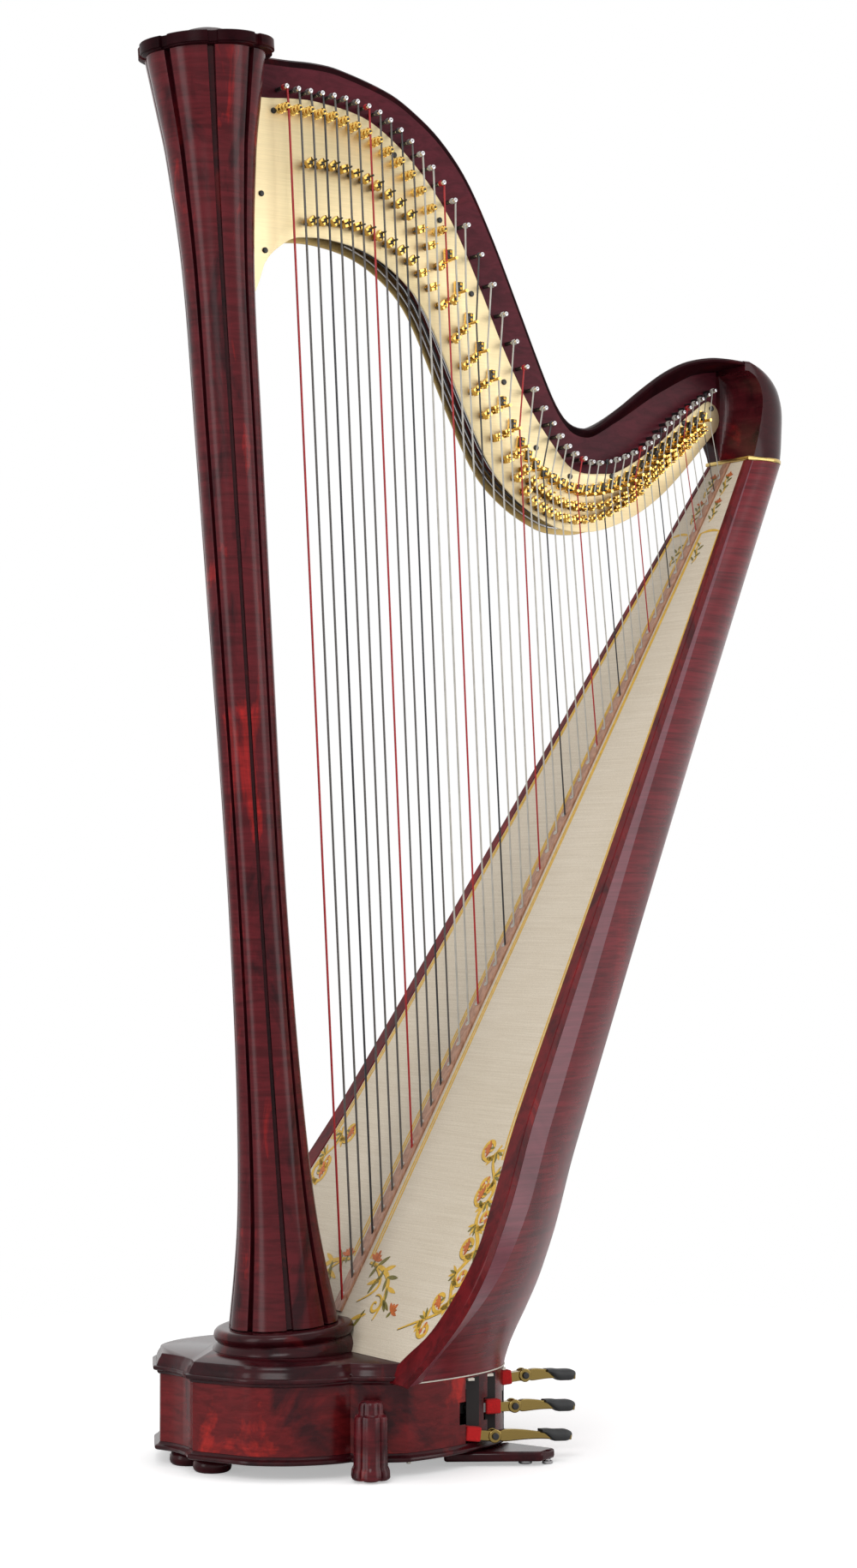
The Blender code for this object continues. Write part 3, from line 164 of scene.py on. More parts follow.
PLATE_SCREWS = mm(
    (-20.8, 1773.6), (166.7, 1736.6), (239.4, 1655.7), (290.9, 1559.5), (344.2, 1442.2), (397.5, 1355.1),
    (454.4, 1319), (526, 1323.9), (591.5, 1361.2), (651.9, 1408.6), (700.8, 1433.3), (-39, 1661), (-33, 1586)
)
VISOR_FROM, VISOR_OUT, VISOR_EDGE = 0.45, 0.0683, 0.003
VISOR_DROP = mm((450, 4), (508, 8.5), (582, 22.4), (627, 23.4), (670, 12), (712, 0.5))
BACK_FALL = mm((490, 0), (530, 16), (560, 21.5), (590, 22.5), (620, 18), (650, 8), (680, 0))
CHANNEL = 0.03
SHOULDER_FRONT = mm((1358.5, 717.5), (1390, 712.5), (1405, 712), (1500, 712))
SHOULDER_BACK = mm(
    (1358.5, 800), (1400, 808.5), (1430, 809.5), (1450, 805), (1466, 796), (1480, 779), (1489.5, 754),
    (1494.8, 716)
)
SHOULDER_HALF_LOW = 0.049
SHOULDER_LOW, SHOULDER_TOP = 1.3585, 1.4948
SCOOP_FROM = 0.7165
SCOOP_WIDE = mm(
    (1355, 8), (1365.4, 11.3), (1400, 22), (1430, 27.8), (1442.1, 28), (1454, 26.2), (1466, 21), (1475, 13),
    (1481, 2)
)

# Pedals: slot place, pivot place, notch at rest, toe length, toe slope
PEDALS = {
    "d": (-0.178, -0.128, -1, 0.121, -2.0), "c": (-0.157, -0.102, 0, 0.096, -2.0),
    "b": (-0.118, -0.076, 1, 0.084, -2.0), "e": (0.063, 0.05, 0, 0.08, -2.0),
    "f": (0.118, 0.076, 0, 0.084, -2.0), "g": (0.157, 0.102, 0, 0.096, -2.0),
    "a": (0.178, 0.128, 1, 0.121, 11.0),
}
AXLE_X, AXLE_Z, NOTCH, TOE_PIN_OUT = -0.085, 0.07, 0.029, 0.03
SLOT_LOW, SLOT_HIGH, SLOT_HALF, SLOT_JOG = 0.0303, 0.114, 0.008, 0.006
TOE_SHARE = 0.88


def new_object(name, data):
    made = bpy.data.objects.new(name, data)
    bpy.context.scene.collection.objects.link(made)
    return made


def make_camera():
    data = bpy.data.cameras.new("camera")
    data.sensor_fit = "VERTICAL"
    data.sensor_height = 36
    data.lens = 75.68
    data.clip_end = 60
    camera = new_object("camera", data)
    camera.location = (-2.4383, -3.7676, 0.7351)
    camera.rotation_euler = (radians(90 + 1.9229), 0, radians(-32))
    bpy.context.scene.camera = camera


# Materials
def set_inputs(node, values):
    """Links a node's inputs where a socket is given, and sets them where a value is given."""
    for key, value in values.items():
        if isinstance(value, bpy.types.NodeSocket):
            node.id_data.links.new(value, node.inputs[key])
        else:
            node.inputs[key].default_value = value


def new_material(name, colour, rough, metallic=0.0, gloss=0.5):
    mat = bpy.data.materials.new(name)
    mat.use_nodes = True
    tree = mat.node_tree
    shader = tree.nodes["Principled BSDF"]
    set_inputs(shader, {"Base Color": (*colour, 1), "Roughness": rough, "Metallic": metallic})
    set_inputs(shader, {"Specular IOR Level": gloss})
    return mat, tree, shader


def add_node(tree, kind, values, **settings):
    made = tree.nodes.new("ShaderNode" + kind)
    for key, value in settings.items():
        setattr(made, key, value)
    set_inputs(made, values)
    return made


def math_node(tree, how, one, two):
    return add_node(tree, "Math", {0: one, 1: two}, operation=how).outputs[0]


def ramp(tree, factor, stops):
    made = add_node(tree, "ValToRGB", {"Fac": factor})
    elements = made.color_ramp.elements
    while len(elements) < len(stops):
        elements.new(0.5)
    for element, (place, colour) in zip(elements, stops):
        element.position = place
        element.color = (*colour, 1)
    return made.outputs["Color"]


def noise(tree, stretch, detail, rough=0.55, distort=0.0, turn=UPRIGHT, scale=1.0):
    """Noise in the piece's own coordinates, finer along the axes that are stretched more."""
    coords = add_node(tree, "TexCoord", {}).outputs["Object"]
    mapping = add_node(tree, "Mapping", {"Vector": coords, "Scale": stretch, "Rotation": turn})
    made = add_node(tree, "TexNoise", {"Vector": mapping.outputs["Vector"], "Scale": scale, "Detail": detail})
    set_inputs(made, {"Roughness": rough, "Distortion": distort})
    return made.outputs["Fac"]


def mixed(tree, factor, one, two, how="MULTIPLY"):
    return add_node(tree, "Mix", {0: factor, 6: one, 7: two}, data_type="RGBA", blend_type=how).outputs[2]


def bump(tree, shader, height, distance, strength):
    made = add_node(tree, "Bump", {"Height": height, "Distance": distance, "Strength": strength})
    set_inputs(shader, {"Normal": made.outputs["Normal"]})


def lacquer(name, clouds, flames, turn, dark, middle, red, flame, rough, gloss):
    """Burgundy lacquer over flamed maple: wide clouds of red, and fine streaks across the grain."""
    mat, tree, shader = new_material("lacquer_" + name, middle, rough, gloss=gloss)
    wide = noise(tree, clouds, 5.0, 0.6, 0.7, turn)
    tone = ramp(tree, wide, [(0.36, dark), (0.48, middle), (0.59, middle), (0.7, red)])
    fine = noise(tree, flames, 6.0, 0.66, 0.9, turn)
    streaks = ramp(tree, fine, [(0.38, (0.4, 0.4, 0.4)), (0.6, (1.45, 1.35, 1.35))])
    set_inputs(shader, {"Base Color": mixed(tree, flame, tone, mixed(tree, 1.0, tone, streaks), "MIX")})
    return mat


def metal(name, colour, rough, brushed=None):
    """Metal with a brushed grain, or with faint spots of wear."""
    mat, tree, shader = new_material(name, colour, rough, 1.0)
    if brushed:
        grain = noise(tree, brushed, 4.0, 0.6)
        lines = ramp(tree, grain, [(0.35, (0.45, 0.45, 0.45)), (0.65, (1.0, 1.0, 1.0))])
        set_inputs(shader, {"Base Color": mixed(tree, 0.16, (*colour, 1), lines)})
        bump(tree, shader, grain, 0.00005, 0.35)
    else:
        wear = noise(tree, (1, 1, 1), 3.0, scale=60.0)
        stops = [(0.3, (rough * 0.7,) * 3), (0.7, (rough * 1.3,) * 3)]
        set_inputs(shader, {"Roughness": ramp(tree, wear, stops)})
    return mat


def plain(name, colour, rough, grain=200.0, depth=0.0001, share=0.25):
    """Paint, felt or gut with small darker specks."""
    mat, tree, shader = new_material(name, colour, rough)
    speck = noise(tree, (1, 1, 1), 4.0, scale=grain)
    low = tuple(c * (1 - share) for c in colour)
    set_inputs(shader, {"Base Color": ramp(tree, speck, [(0.3, low), (0.7, colour)])})
    bump(tree, shader, speck, depth, 0.4)
    return mat


def spruce_material():
    """Pale crosswise grain with a fine woven look."""
    mat, tree, shader = new_material("spruce", (0.64, 0.57, 0.46), 0.48, gloss=0.15)
    grain = noise(tree, (60, 9, 900), 2.0, 0.6, turn=ALONG_BOARD)
    weave = noise(tree, (500, 900, 900), 2.0, 0.6, turn=ALONG_BOARD)
    wide = noise(tree, (3, 4, 3), 2.0)
    lines = ramp(tree, grain, [(0.36, (0.6, 0.525, 0.415)), (0.64, (0.665, 0.595, 0.485))])
    knots = ramp(tree, weave, [(0.36, (0.88, 0.87, 0.85)), (0.62, (1.03, 1.03, 1.03))])
    clouds = ramp(tree, wide, [(0.3, (0.94, 0.93, 0.91)), (0.7, (1.03, 1.03, 1.04))])
    set_inputs(shader, {"Base Color": mixed(tree, 1.0, mixed(tree, 1.0, lines, knots), clouds)})
    bump(tree, shader, weave, 0.0001, 0.3)
    return mat


def strip_material():
    mat, tree, shader = new_material("strip_wood", (0.33, 0.17, 0.1), 0.38)
    grain = noise(tree, (260, 260, 7), 4.0, 0.6, turn=ALONG_BOARD)
    stops = [(0.32, (0.24, 0.105, 0.055)), (0.6, (0.4, 0.205, 0.125))]
    set_inputs(shader, {"Base Color": ramp(tree, grain, stops)})
    bump(tree, shader, grain, 0.0001, 0.3)
    return mat


# Stretch of the clouds and flames, turn, dark, middle and red colour, share of the flames, roughness, gloss
LACQUERS = {
    "column": ((17, 17, 5.5), (10, 10, 90), UPRIGHT, (0.028, 0.003, 0.0052), (0.08, 0.0066, 0.01),
               (0.29, 0.0125, 0.0115), 0.5, 0.22, 0.19),
    "neck": ((3, 4, 5), (34, 8, 90), UPRIGHT, (0.062, 0.0098, 0.0165), (0.082, 0.012, 0.0195),
             (0.104, 0.013, 0.0195), 0.4, 0.34, 0.1),
    "arch": ((7, 7, 9), (20, 20, 80), UPRIGHT, (0.02, 0.0032, 0.005), (0.058, 0.006, 0.009),
             (0.2, 0.0095, 0.0105), 0.4, 0.22, 0.16),
    "box": ((4, 7, 3.2), (8, 8, 170), ALONG_BOARD, (0.084, 0.0082, 0.013), (0.135, 0.0098, 0.0155),
            (0.2, 0.012, 0.017), 0.6, 0.27, 0.26),
    "edge": ((22, 22, 7), (60, 60, 60), ALONG_BOARD, (0.05, 0.0022, 0.0042), (0.11, 0.005, 0.0075),
             (0.21, 0.0085, 0.009), 0.45, 0.28, 0.12),
    "base": ((10, 10, 8), (16, 16, 70), UPRIGHT, (0.036, 0.0045, 0.0065), (0.112, 0.0075, 0.009),
             (0.34, 0.017, 0.012), 0.5, 0.22, 0.18),
    # The mould lacquer also darkens the column's channels, as painted shade.
    "mould": ((14, 14, 12), (24, 24, 70), UPRIGHT, (0.016, 0.0026, 0.0042), (0.034, 0.0038, 0.006),
              (0.095, 0.006, 0.0075), 0.35, 0.19, 0.17),
    # The facet lacquer is a greyer, glossier copy of the box lacquer: a painted sheen on the soundbox's side
    # facets.
    "facet": ((4, 7, 3.2), (8, 8, 170), ALONG_BOARD, (0.095, 0.018, 0.029), (0.14, 0.027, 0.041),
              (0.175, 0.03, 0.044), 0.35, 0.3, 0.38),
    # The rim lacquer is near-black; under the neck's visor it also serves as painted shade.
    "rim": ((14, 14, 12), (24, 24, 70), UPRIGHT, (0.007, 0.0016, 0.0024), (0.016, 0.0024, 0.0038),
            (0.04, 0.0036, 0.005), 0.3, 0.34, 0.035),
}

# Colour, roughness, and the stretch of the grain where it is brushed
METALS = {
    "plate": ((0.79, 0.655, 0.395), 0.46, (30, 30, 900)),
    # The back plate's gold is a darker copy of the front plate's: painted shade of the channel under the
    # neck.
    "inner_plate": ((0.5, 0.36, 0.15), 0.38, (30, 30, 700)),
    "gold": ((0.78, 0.5, 0.13), 0.2),
    "dark_gold": ((0.33, 0.19, 0.04), 0.3),
    "brass": ((0.66, 0.47, 0.17), 0.24, (200, 200, 1200)),
    "pedal_brass": ((0.27, 0.19, 0.06), 0.14),
    "steel": ((0.5, 0.49, 0.5), 0.24),
    "pin_steel": ((0.74, 0.73, 0.74), 0.2),
    "dark_steel": ((0.2, 0.19, 0.19), 0.32),
}

# Colour, roughness, scale of the specks, their depth and how much darker they are
PLAIN = {
    "black": ((0.012, 0.012, 0.013), 0.35),
    "rubber": ((0.016, 0.017, 0.018), 0.55, 500.0),
    "felt": ((0.62, 0.008, 0.01), 0.95, 900.0, 0.0006, 0.45),
    "cream": ((0.8, 0.76, 0.66), 0.9, 900.0, 0.0004, 0.2),
    "gilt": ((0.7, 0.42, 0.045), 0.5, 160.0, 0.00005, 0.3),
    "gilt_dark": ((0.11, 0.07, 0.015), 0.5, 160.0, 0.00005, 0.35),
    "bud": ((0.6, 0.15, 0.03), 0.5, 120.0, 0.00005, 0.5),
    "leaf": ((0.2, 0.17, 0.03), 0.5, 140.0, 0.00005, 0.5),
    "red_string": ((0.4, 0.006, 0.01), 0.45, 60.0),
    "black_string": ((0.02, 0.02, 0.024), 0.32, 60.0),
    "wire_string": ((0.115, 0.105, 0.098), 0.42, 700.0, 0.0001, 0.5),
    "gut_string": ((0.5, 0.48, 0.43), 0.4, 60.0),
    "eyelet": ((0.5, 0.46, 0.41), 0.35, 60.0),
    # The near-black inside colour is painted shade on the base's inner wall and on the sides of the pedal
    # slots.
    "inside": ((0.01, 0.006, 0.006), 0.8, 40.0),
}
MATERIALS = {"spruce": spruce_material(), "strip": strip_material()}

# Shape helpers
for make, looks in ((lacquer, LACQUERS), (metal, METALS), (plain, PLAIN)):
    MATERIALS.update({name: make(name, *look) for name, look in looks.items()})


def smooth_between(t, a, b, leave, arrive):
    """A smooth curve from a to b, with the slopes it leaves and arrives with."""
    near = a * (2 * t**3 - 3 * t**2 + 1) + leave * (t**3 - 2 * t**2 + t)
    return near + b * (3 * t**2 - 2 * t**3) + arrive * (t**3 - t**2)


def curve_at(points, place):
    """Height of a smooth curve through the points, which run along their first value."""
    if place <= points[0][0]:
        return points[0][1]
    if place >= points[-1][0]:
        return points[-1][1]
    i = max(k for k in range(len(points) - 1) if points[k][0] <= place)

    def slope(k):
        low, high = max(k - 1, 0), min(k + 1, len(points) - 1)
        return (points[high][1] - points[low][1]) / (points[high][0] - points[low][0])

    (x0, y0), (x1, y1) = points[i], points[i + 1]
    span = x1 - x0
    return smooth_between((place - x0) / span, y0, y1, span * slope(i), span * slope(i + 1))


def evenly(low, high, count):
    return [low + (high - low) * i / (count - 1) for i in range(count)]


def rounded_path(points, steps):
    """A smooth open path through points, without the last of them."""
    points = [Vector(p) for p in points]
    out = []
    for i, (a, b) in enumerate(zip(points, points[1:])):
        leave = (b - points[max(i - 1, 0)]) / 2
        arrive = (points[min(i + 2, len(points) - 1)] - a) / 2
        out += [smooth_between(k / steps, a, b, leave, arrive) for k in range(steps)]
    return out


def board_point(s, y, n):
    return BOARD_POINT + BOARD_UP * s + ACROSS * y + BOARD_IN * n


def move(x, y, z):
    return Matrix.Translation((x, y, z))


def add_rows(bm, rows, caps=True, slot=0):
    """A skin over closed rows of points, with one material slot or one for each strip."""
    made = [[bm.verts.new(p) for p in row] for row in rows]
    count = len(made[0])
    slots = slot if isinstance(slot, list) else [slot] * count
    for low, high in zip(made, made[1:]):
        for i in range(count):
            j = (i + 1) % count
            bm.faces.new((low[i], low[j], high[j], high[i])).material_index = slots[i]
    if caps:
        for row in (made[0], made[-1]):
            bm.faces.new(row).material_index = slots[0]
    return made


def sharpen_borders(mesh):
    """Marks the edges where two materials of a mesh meet as sharp."""
    seen = {}
    for face in mesh.polygons:
        for key in face.edge_keys:
            seen.setdefault(key, set()).add(face.material_index)
    for edge in mesh.edges:
        if len(seen.get(edge.key, ())) > 1:
            edge.use_edge_sharp = True


def new_form(add, *form, **options):
    """A new mesh that is filled by one of the functions that add a form."""
    bm = bmesh.new()
    add(bm, *form, **options)
    return bm


def to_object(name, bm, turn=Matrix()):
    """Brings finished geometry from the harp's frame to the CAD's, as an object."""
    bmesh.ops.recalc_face_normals(bm, faces=bm.faces)
    bmesh.ops.transform(bm, matrix=SHIFT @ turn, verts=bm.verts)
    mesh = bpy.data.meshes.new(name)
    bm.to_mesh(mesh)
    bm.free()
    return new_object(name, mesh)


def piece(name, bm, material, body="frame", replaces=None, angle=35, turn=Matrix(), bevel=0.0):
    """Makes a finished piece with one material or several and rides it on a CAD body."""
    obj = to_object(name, bm, turn)
    mesh = obj.data
    names = [material] if isinstance(material, str) else material
    for one in names:
        mesh.materials.append(MATERIALS[one])
    if bevel:
        step = obj.modifiers.new("bevel", "BEVEL")
        step.width = bevel
        step.segments = 2
        step.limit_method = "ANGLE"
        step.angle_limit = radians(40)
    mesh.shade_smooth()
    mesh.set_sharp_from_angle(angle=radians(angle))
    if len(names) > 1:
        sharpen_borders(mesh)
    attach(obj, body)
    if replaces:
        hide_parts(replaces)
    return obj


def carve(obj, cutter):
    """Cuts a closed shape out of a piece and keeps the result in its mesh."""
    tool = to_object("carver", cutter)
    step = obj.modifiers.new("carve", "BOOLEAN")
    step.object = tool
    step.solver = "EXACT"
    step.use_self = True
    bpy.context.view_layer.update()
    graph = bpy.context.evaluated_depsgraph_get()
    result = bpy.data.meshes.new_from_object(obj.evaluated_get(graph))
    obj.modifiers.clear()
    obj.data = result
    bpy.data.objects.remove(tool)


def add_cylinder(bm, start, end, radius, sides, slot=0):
    along = Vector(end) - Vector(start)
    add_turned(bm, [(0, radius), (along.length, radius)], start, along, sides, slot)


def circle(centre, side, other, radius, sides):
    angles = [tau * i / sides for i in range(sides)]
    return [centre + side * (radius * cos(a)) + other * (radius * sin(a)) for a in angles]


def add_turned(bm, profile, start, along, sides, slot=0):
    """A turned form: (distance along, radius) pairs from a start point."""
    along = Vector(along).normalized()
    side = along.orthogonal().normalized()
    other = along.cross(side)
    rows = [circle(Vector(start) + along * place, side, other, r, sides) for place, r in profile]
    add_rows(bm, rows, slot=slot)


def add_box(bm, size, turn, slot=0):
    made = bmesh.ops.create_cube(bm, size=1)
    bmesh.ops.scale(bm, vec=size, verts=made["verts"])
    bmesh.ops.transform(bm, matrix=turn, verts=made["verts"])
    for face in {f for v in made["verts"] for f in v.link_faces}:
        face.material_index = slot


def add_tube(bm, points, radius, sides, slot=0):
    """A round tube along a path."""
    points = [Vector(p) for p in points]
    rows = []
    side = None
    for i, point in enumerate(points):
        along = (points[min(i + 1, len(points) - 1)] - points[max(i - 1, 0)]).normalized()
        side = along.orthogonal() if side is None else side - along * side.dot(along)
        side.normalize()
        rows.append(circle(point, side, along.cross(side), radius, sides))
    add_rows(bm, rows, slot=slot)


# Column
def lobed(radius, height, valley, half_valley=radians(3.7), half_floor=radians(2.9), edge=0.97, lobes=8,
          steps=12):
    """A ring of round lobes with flat-bottomed valleys between them."""
    ring = []
    pitch = tau / lobes
    for lobe in range(lobes):
        middle = lobe * pitch
        reach = pitch / 2 - half_valley
        for k in range(steps + 1):
            t = 2 * k / steps - 1
            r = radius * (1 - (1 - edge) * t * t)
            ring.append(Vector((r * cos(middle + t * reach), r * sin(middle + t * reach), height)))
        for side in (-1, 0, 1):
            a = middle + pitch / 2 + side * half_floor
            r = (radius - valley) * (1 - 0.004 * (1 - abs(side)))
            ring.append(Vector((r * cos(a), r * sin(a), height)))
    return ring


def make_column():
    rows = []
    for z in evenly(COLUMN_PROFILE[0][0], 0.4, 22) + evenly(0.42, 1.5, 36) + evenly(1.52, COLUMN_TOP, 26):
        r = curve_at(COLUMN_PROFILE, z)
        rows.append(lobed(r, z, 0.14 * r))
    # The channels between the lobes take the darker mould lacquer as painted shade.
    shaded_valleys = [1 if i % 16 > 11 else 0 for i in range(len(rows[0]))]
    piece("column_body", new_form(add_rows, rows, slot=shaded_valleys), ["column", "mould"],
          replaces="column", angle=28, turn=LEAN_TURN)

    low = COLUMN_TOP + GAP
    rim = mm((0, -6), (1, -3), (2.6, -2.6), (3, 0), (16, 0), (17.2, -1.2), (RIM_TALL * 1000, -2.4))
    rows = [lobed(RIM_R + grow, low + z, 0.0068, radians(4.4), radians(3.9), 0.972) for z, grow in rim]
    piece("crown_rim_body", new_form(add_rows, rows), "rim", replaces="crown_rim", angle=28,
          turn=LEAN_TURN @ move(RIM_SHIFT, 0, 0))

    cap = mm((0, 50), (2, 50.5), (5, 48.5), (8.5, 43), (12.5, 35), (16, 25), (18.5, 15), (19.8, 7), (20.2, 1))
    start = (RIM_SHIFT, 0, low + RIM_TALL + GAP)
    piece("crown_cap_body", new_form(add_turned, cap, start, UP, 40), "rim",
          replaces="crown_cap", turn=LEAN_TURN)


# Base
def rear_outline(angle):
    x = BASE_SIDE_X + (BASE_REAR_X - BASE_SIDE_X) * max(cos(angle), 0) ** (2 / 1.5)
    return x, BASE_HALF * max(sin(angle), 0) ** (2 / 3.3)


def half_base():
    half = []
    for outline, steps in ((FRONT_FACE, 5), (FRONT_BOW, 6), (SIDE_BOW, 5)):
        half += [tuple(p) for p in rounded_path(outline, steps)]
    return half + [rear_outline(pi / 2 * (1 - i / 30)) for i in range(31)]


HALF_BASE = half_base()
BASE_LOOP = HALF_BASE + [(x, -y) for x, y in HALF_BASE[-2:0:-1]]


def base_outline(grow):
    grown = []
    for i, point in enumerate(BASE_LOOP):
        here = Vector(point)
        one = (here - Vector(BASE_LOOP[i - 1])).normalized()
        two = (Vector(BASE_LOOP[(i + 1) % len(BASE_LOOP)]) - here).normalized()
        normal = Vector((one.y, -one.x))
        outward = -(normal + Vector((two.y, -two.x))).normalized()
        grown.append(here + outward * grow / max(abs(outward.dot(normal)), 0.6))
    return grown


def base_ring(height, grow):
    return [(*p, height) for p in base_outline(grow)]


def pedal_places(name):
    slot_y, pivot_y = PEDALS[name][0], PEDALS[name][1]
    angle = min((a * pi / 720 for a in range(361)), key=lambda a: abs(rear_outline(a)[1] - abs(slot_y)))
    slot = Vector((rear_outline(angle)[0], slot_y, AXLE_Z))
    axle = Vector((AXLE_X, pivot_y, AXLE_Z))
    direction = Vector((slot.x - axle.x, slot.y - axle.y, 0)).normalized()
    return axle, slot, direction


def plan_turn(direction):
    return Matrix.Rotation(atan2(direction.y, direction.x), 4, "Z")


def base_rings(profile, low=0.0):
    """Rows of the base's outline, from pairs of height and growth."""
    return [base_ring(low + z, grow) for z, grow in profile]


def behind_board():
    """A block that fills everything behind the soundboard's face."""
    turn = move(*BOARD_POINT) @ BOARD_TURN @ move(0.2, 0, 0.3 - GAP)
    return new_form(add_box, (1.2, 1.0, 0.6), turn)


def make_base():
    mould = mm((0, 1), (0.8, 3), (2.8, 4.2), (4.4, 4.2), (4.8, 6.8), (6, 8.8), (8.2, 9.6), (10, 9.2),
               (10.8, 7.8), (11, 5.2), (12.8, 4.2), (15, 3.6), (18, 2.4), (20.6, 0.8), (22.6, -0.6), (24, -1),
               (25.4, -1.4), (26, -2.6))
    top = piece("base_top_body", new_form(add_rows, base_rings(mould, WALL_TOP + GAP)), "mould",
                replaces="base_top", angle=30)
    carve(top, behind_board())
    carve(top, new_form(add_cylinder, (0, 0, WALL_TOP - 0.01), (0, 0, BASE_TOP + 0.01), WELL_R, 32))

    bm = bmesh.new()
    outer = [base_ring(z, 0) for z in evenly(WALL_LOW, WALL_TOP, 4)]
    inner = [base_ring(z, -WALL_THICK) for z in (WALL_TOP, WALL_LOW)]
    made = add_rows(bm, outer + inner + [outer[0]], caps=False)
    # The inner wall's faces take the near-black inside colour as painted shade.
    shaded_inner = set(made[4] + made[5])
    for face in bm.faces:
        if shaded_inner.issuperset(face.verts):
            face.material_index = 1
    bmesh.ops.remove_doubles(bm, verts=bm.verts, dist=0.00001)
    wall = piece("base_wall_body", bm, ["base", "inside"], replaces="base_wall", angle=30)
    first, second = AXLE_Z - NOTCH / 2, AXLE_Z + NOTCH / 2
    jog = SLOT_HALF + SLOT_JOG
    opening = [(-SLOT_HALF, SLOT_LOW), (SLOT_HALF, SLOT_LOW), (SLOT_HALF, SLOT_HIGH), (-SLOT_HALF, SLOT_HIGH),
               (-SLOT_HALF, second), (-jog, second), (-jog, first), (-SLOT_HALF, first)]
    for name in PEDALS:
        _, slot, direction = pedal_places(name)
        turn = move(slot.x, slot.y, 0) @ plan_turn(direction)
        side = 1 if slot.y < 0 else -1
        # The sides cut for each slot take the near-black inside colour as painted shade.
        rows = [[turn @ Vector((x, side * y, z)) for y, z in opening] for x in (-0.03, 0.03)]
        carve(wall, new_form(add_rows, rows, slot=1))

    bead = mm((0, 1), (0.6, 4), (1.8, 6.2), (3.8, 7.2), (6, 6.6), (7.2, 4.6), (8, 2.4), (9.8, 1.2), (11, 0.4))
    piece("base_floor_body", new_form(add_rows, base_rings(bead, FLOOR_BOTTOM)), "mould",
          replaces="base_floor", angle=40)

    line = [p for p in base_ring(WALL_TOP + 0.0002, 0.0006) if p[0] > 0.046]
    line.sort(key=lambda p: atan2(p[1], p[0] - BASE_SIDE_X))
    piece("box_seam", new_form(add_tube, line, 0.0009, 6), "cream")

    profile = mm((0, 80), (0, 85), (1.2, 88.2), (4, 90.8), (8.5, 92), (13, 90.8), (15.8, 88.2), (17, 87.6),
                 (18.2, 88.6), (20.5, 90.8), (24, 93.2), (27.5, 94.8), (31, 95), (44, 95))
    ring = piece("foot_ring_body", new_form(add_turned, profile, (0, 0, RING_TOP), (0, 0, -1), 72), "mould",
                 replaces="column_foot_ring", angle=40, turn=LEAN_TURN)
    carve(ring, behind_board())
    carve(ring, new_form(add_box, (0.4, 0.4, 0.1), move(0, 0, BASE_TOP + 0.0004 - 0.05)))


def make_feet():
    bun = mm((0, 19.5), (0.8, 21.5), (3, 23.8), (7, 25), (12, 24.6), (16, 22.5), (18.5, 20), (19.2, 19))
    fluted = mm((3, 22.5), (4.5, 25), (6.5, 26.2), (15, 25.5), (18.5, 23.8), (20, 23), (50, 22.8), (79, 22.4),
                (82, 21.6), (83.2, 18.6), (84.5, 17.2), (87, 16.6), (96, 16.4), (99, 15), (100, 13))
    against_base = mm((-10, 0.4), (18, 0.4), (18.5, 7.6), (32.5, 7.6), (36.5, 0.6), (160, 0.6))
    wedge = mm((165, 120), (130, 165), (240, 228), (272, 211), (245, 140))
    for side, sign in (("left", -1), ("right", 1)):
        bm = new_form(add_turned, bun, (-0.135, sign * 0.032, 0), UP, 32)
        piece("front_foot_body_" + side, bm, "mould", replaces="front_foot_" + side)

        x, y = -0.002, sign * 0.203
        turn = move(x, y, 0) @ Matrix.Rotation(radians(2), 4, "Z")
        rows = [lobed(r, z, 0.17 * r, radians(8.5), radians(5.5), 0.93, 6, 8) for z, r in fluted]
        body = piece("side_foot_body_" + side, new_form(add_rows, rows), "column",
                     replaces="side_foot_" + side, angle=30, turn=turn)
        carve(body, new_form(add_rows, base_rings(against_base)))
        piece("side_pad_" + side, new_form(add_turned, mm((0, 8.5), (3, 8.5)), (x, y, 0), UP, 20), "rubber")

        rows = [[(x, sign * y, z) for x, y in wedge] for z in (0.0062, 0.019)]
        piece("rear_foot_body_" + side, new_form(add_rows, rows), "mould",
              replaces="rear_foot_" + side, bevel=0.0035)
        bm = bmesh.new()
        for x, y, r in ((0.236, 0.195, 0.009), (0.259, 0.212, 0.007)):
            glide = [(0.0, r * 0.85), (0.001, r), (0.004, r), (0.005, r * 0.6), (0.0066, r * 0.6)]
            add_turned(bm, glide, (x, sign * y, 0.0), UP, 20)
        piece("glides_" + side, bm, "steel")
        bm = new_form(add_turned, mm((0, 2.2), (0.8, 3), (5, 3)), (0.062, sign * 0.19, 0.0145), UP, 12)
        piece("stud_" + side, bm, "cream")


# Soundbox
def box_depth(s):
    return BOX_DEPTH - BOX_DEPTH_TAPER * s


def back_circle(half, crease, depth):
    """Depth of the middle and radius of the arc that the soundbox's back follows."""
    rise = depth - crease
    radius = (half * half + rise * rise) / (2 * rise)
    return depth - radius, radius


def back_arc(half, crease, depth):
    centre, radius = back_circle(half, crease, depth)
    start = atan2(half, crease - centre)
    angles = [start * (1 - i / BACK_STEPS) for i in range(BACK_STEPS + 1)]
    return [(centre + radius * cos(a), radius * sin(a)) for a in angles]


LOWEST = (WALL_TOP + GAP - BOARD_POINT.z) / sin(BOARD_ANGLE)


